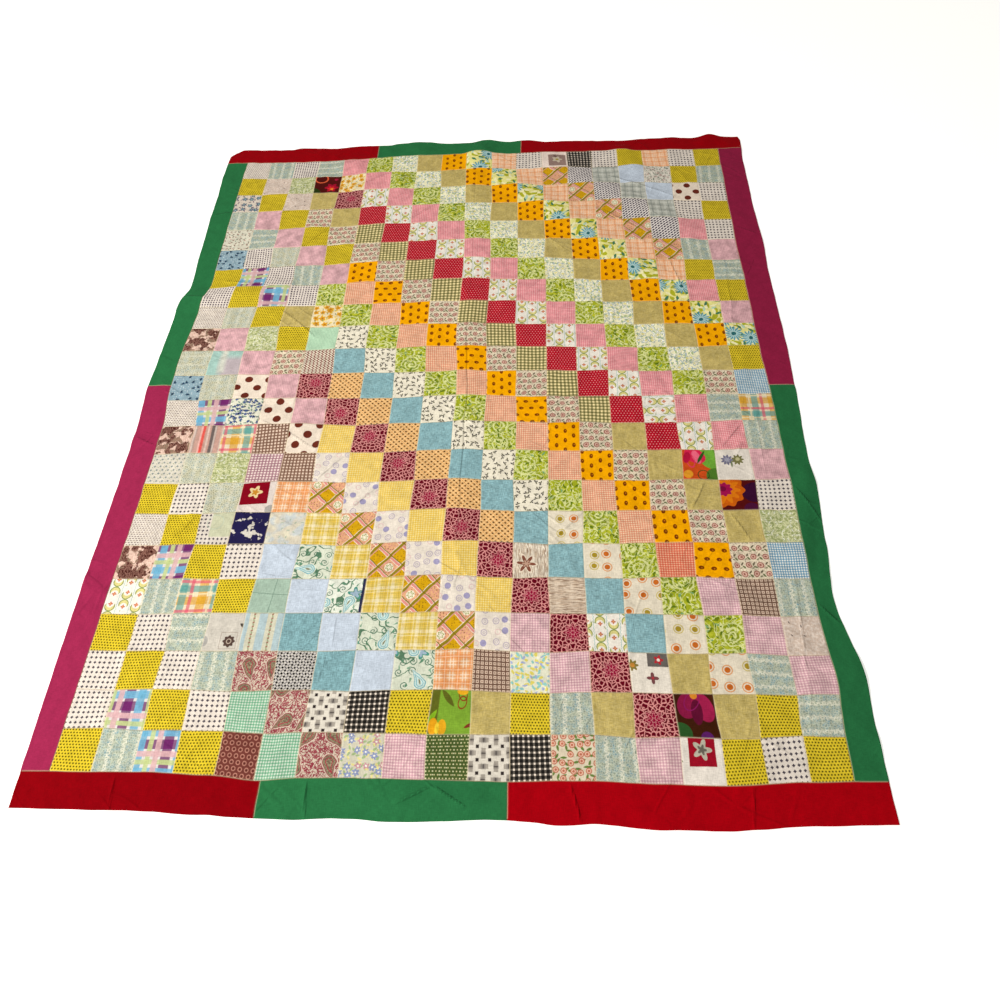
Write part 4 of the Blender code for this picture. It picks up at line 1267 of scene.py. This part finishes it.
def planPatches():
    # The fabric of every patch, by (row, column).
    plan = {}
    for diagonal, run in diagonals.items():
        row = max(0, -diagonal)
        for entry in run.split():
            fabric, _, count = entry.partition("*")
            for _ in range(int(count or 1)):
                plan[row, row + diagonal] = fabric
                row += 1
    return plan


plan = planPatches()
cottons = {name: wovenCotton(name, **fabric) for name, fabric in fabrics.items()}
print("fabrics printed:", len(cottons))

chance = np.random.default_rng(patchLoose["seed"])
tilts = chance.normal(0.0, patchLoose["tilt"], (rows, columns))
shifts = chance.uniform(-patchLoose["shift"], patchLoose["shift"], (rows, columns, 2))


def makeRow(row):
    name = f"patch_row_{row + 1:02d}"
    piece, loops = makeCloth(name, 0.0, float(columns), float(row), row + 1.0, True)
    loopColumn, loopRow, number = loops
    across, down = loopColumn - number, loopRow - row
    x, y = (across - 0.5) * patchAcross / mm, (0.5 - down) * patchDown / mm
    fabricAt = [plan[row, column] for column in range(columns)]
    quarter = np.array([90.0 if (row, column) in sideways else 0.0 for column in range(columns)])
    angle = np.radians(quarter + tilts[row])[number]
    shift = shifts[row][number]
    cloth = np.stack([x * np.cos(angle) - y * np.sin(angle) + shift[:, 0],
                      x * np.sin(angle) + y * np.cos(angle) + shift[:, 1]], axis=1)
    # The damask's flower falls near the middle of each patch, never quite alike.
    loose = [patchLoose["damask"] if fabric == "damask" else 0.0 for fabric in fabricAt]
    loose = np.array(loose)[number]
    patch = np.stack([x, y], axis=1) + loose[:, None] * shift
    addMaps(piece, loops, cloth, patch, *bake["rowFields"], across, down)
    used = list(dict.fromkeys(fabricAt))
    for fabric in used:
        piece.data.materials.append(cottons[fabric])
    slots = np.array([used.index(fabric) for fabric in fabricAt])
    piece.data.polygons.foreach_set("material_index", slots[number[::4]].astype(np.int32))
    thicken(piece)
    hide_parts("patchwork_panel")
    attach(piece, "root")


for row in range(rows):
    makeRow(row)
print("patch rows laid:", rows)

# The border: ten strips of plain cotton that lie end to end round the panel.
border = {
    # Red, green and magenta are each one cotton. Their darker copies are that same cotton painted
    # darker: painted shade on the strips where less light fell.
    "cottons": {"red": "#A6000E", "red in deeper painted shade": "#88000A", "red in painted shade": "#97000B", "green": "#2A7244",
                "green in painted shade": "#276D41", "magenta": "#9E2850", "magenta in painted shade": "#911F43"},
    "slub": 0.8,
    "wash": 0.6,
    "topJoins": (5.33, 11.17),
    "bottomJoins": (5.16, 10.95),
    "leftJoin": 11.40,
    "rightJoin": 11.66,
}
outerLeft, outerRight, outerFar, outerNear = -1.0, columns + 1.0, -1.0, rows + 1.0
# Each strip: name, left, right, far and near end, cotton, and its mean width in mm.
strips = [
    ("border_top_red_left", outerLeft, border["topJoins"][0], outerFar, 0.0, "red in painted shade", 84),
    ("border_top_green", *border["topJoins"], outerFar, 0.0, "green", 79),
    ("border_top_red_right", border["topJoins"][1], outerRight, outerFar, 0.0, "red in painted shade", 76),
    ("border_bottom_red_left", outerLeft, border["bottomJoins"][0], rows, outerNear, "red in deeper painted shade", 83),
    ("border_bottom_green", *border["bottomJoins"], rows, outerNear, "green", 92),
    ("border_bottom_red_right", border["bottomJoins"][1], outerRight, rows, outerNear, "red", 92),
    ("border_left_green", outerLeft, 0.0, 0.0, border["leftJoin"], "green", 78),
    ("border_left_magenta", outerLeft, 0.0, border["leftJoin"], rows, "magenta", 80),
    ("border_right_magenta", columns, outerRight, 0.0, border["rightJoin"], "magenta in painted shade", 91),
    ("border_right_green", columns, outerRight, border["rightJoin"], rows, "green in painted shade", 70),
]
plainCottons = {colour: wovenCotton("plain " + colour, code, [], slub=border["slub"],
                                    wash=border["wash"])
                for colour, code in border["cottons"].items()}


def makeStrip(name, left, right, far, near, colour, width):
    ends = [float(end) for end in (left, right, far, near)]
    piece, loops = makeCloth(name + "_cloth", *ends, False)
    loopColumn, loopRow, number = loops
    cloth = np.stack([loopColumn * patchAcross / mm, -loopRow * patchDown / mm], axis=1)
    longWays = right - left > near - far
    start = math.floor(left if longWays else far)
    along = (loopColumn if longWays else loopRow) - start - number
    aside = (loopRow - far) if longWays else (loopColumn - left)
    fields = bake["stripFields"]
    deep = math.ceil((int(number.max()) + 1) / fields)
    addMaps(piece, loops, cloth, cloth, fields, deep, along, aside)
    piece.data.materials.append(plainCottons[colour])
    thicken(piece)
    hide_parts(name)
    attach(piece, "root")


for strip in strips:
    makeStrip(*strip)
print("border strips laid:", len(strips))

# The room: a pale floor, a soft key light near the bottom left, and the pale room around.
studio = {
    "floorSize": 16.0,
    "floorRoughness": 0.7,
    "floorColour": "#F4F4F2",
    "floorGlow": 0.58,
    "keyPlace": (-3.3, -2.0, 4.0),
    "keyTarget": (0.0, -0.45, 0.0),
    "keySize": 0.8,
    "keyPower": 266.0,
    "keyColour": "#FFFCF5",
    "roomColour": "#FFFAF1",
    "roomStrength": 0.35,
}

bpy.ops.mesh.primitive_plane_add(size=studio["floorSize"], location=(0.0, 0.0, 0.0))
floor = bpy.context.object
floor.name = floor.data.name = "floor"
board = bpy.data.materials.new("painted board")
board.use_nodes = True
paint = board.node_tree.nodes["Principled BSDF"]
paint.inputs["Base Color"].default_value = hexColour(studio["floorColour"])
paint.inputs["Roughness"].default_value = studio["floorRoughness"]
paint.inputs["Emission Color"].default_value = hexColour(studio["floorColour"])
paint.inputs["Emission Strength"].default_value = studio["floorGlow"]
floor.data.materials.append(board)

bpy.ops.object.light_add(type="AREA", location=studio["keyPlace"])
key = bpy.context.object
key.data.size = studio["keySize"]
key.data.energy = studio["keyPower"]
key.data.color = hexColour(studio["keyColour"])[:3]
aim = [target - place for target, place in zip(studio["keyTarget"], studio["keyPlace"])]
key.rotation_euler = (math.acos(-aim[2] / math.hypot(*aim)), 0.0,
                      math.atan2(aim[1], aim[0]) - 0.5 * math.pi)

room = bpy.data.worlds.new("pale room")
bpy.context.scene.world = room
room.use_nodes = True
walls = room.node_tree.nodes["Background"]
walls.inputs["Color"].default_value = hexColour(studio["roomColour"])
walls.inputs["Strength"].default_value = studio["roomStrength"]
bpy.context.scene.view_settings.view_transform = "Standard"

camera = {
    "place": (0.1997, -1.5442, 1.8217),
    "turn": (31.64, 2.21, 1.01),    # degrees
    "lens": 26.82,              # mm
    "sensor": 36.0,
}
bpy.ops.object.camera_add(location=camera["place"],
                          rotation=[math.radians(angle) for angle in camera["turn"]])
eye = bpy.context.object
eye.data.lens = camera["lens"]
eye.data.sensor_width = camera["sensor"]
bpy.context.scene.camera = eye
print("room, light and camera set")
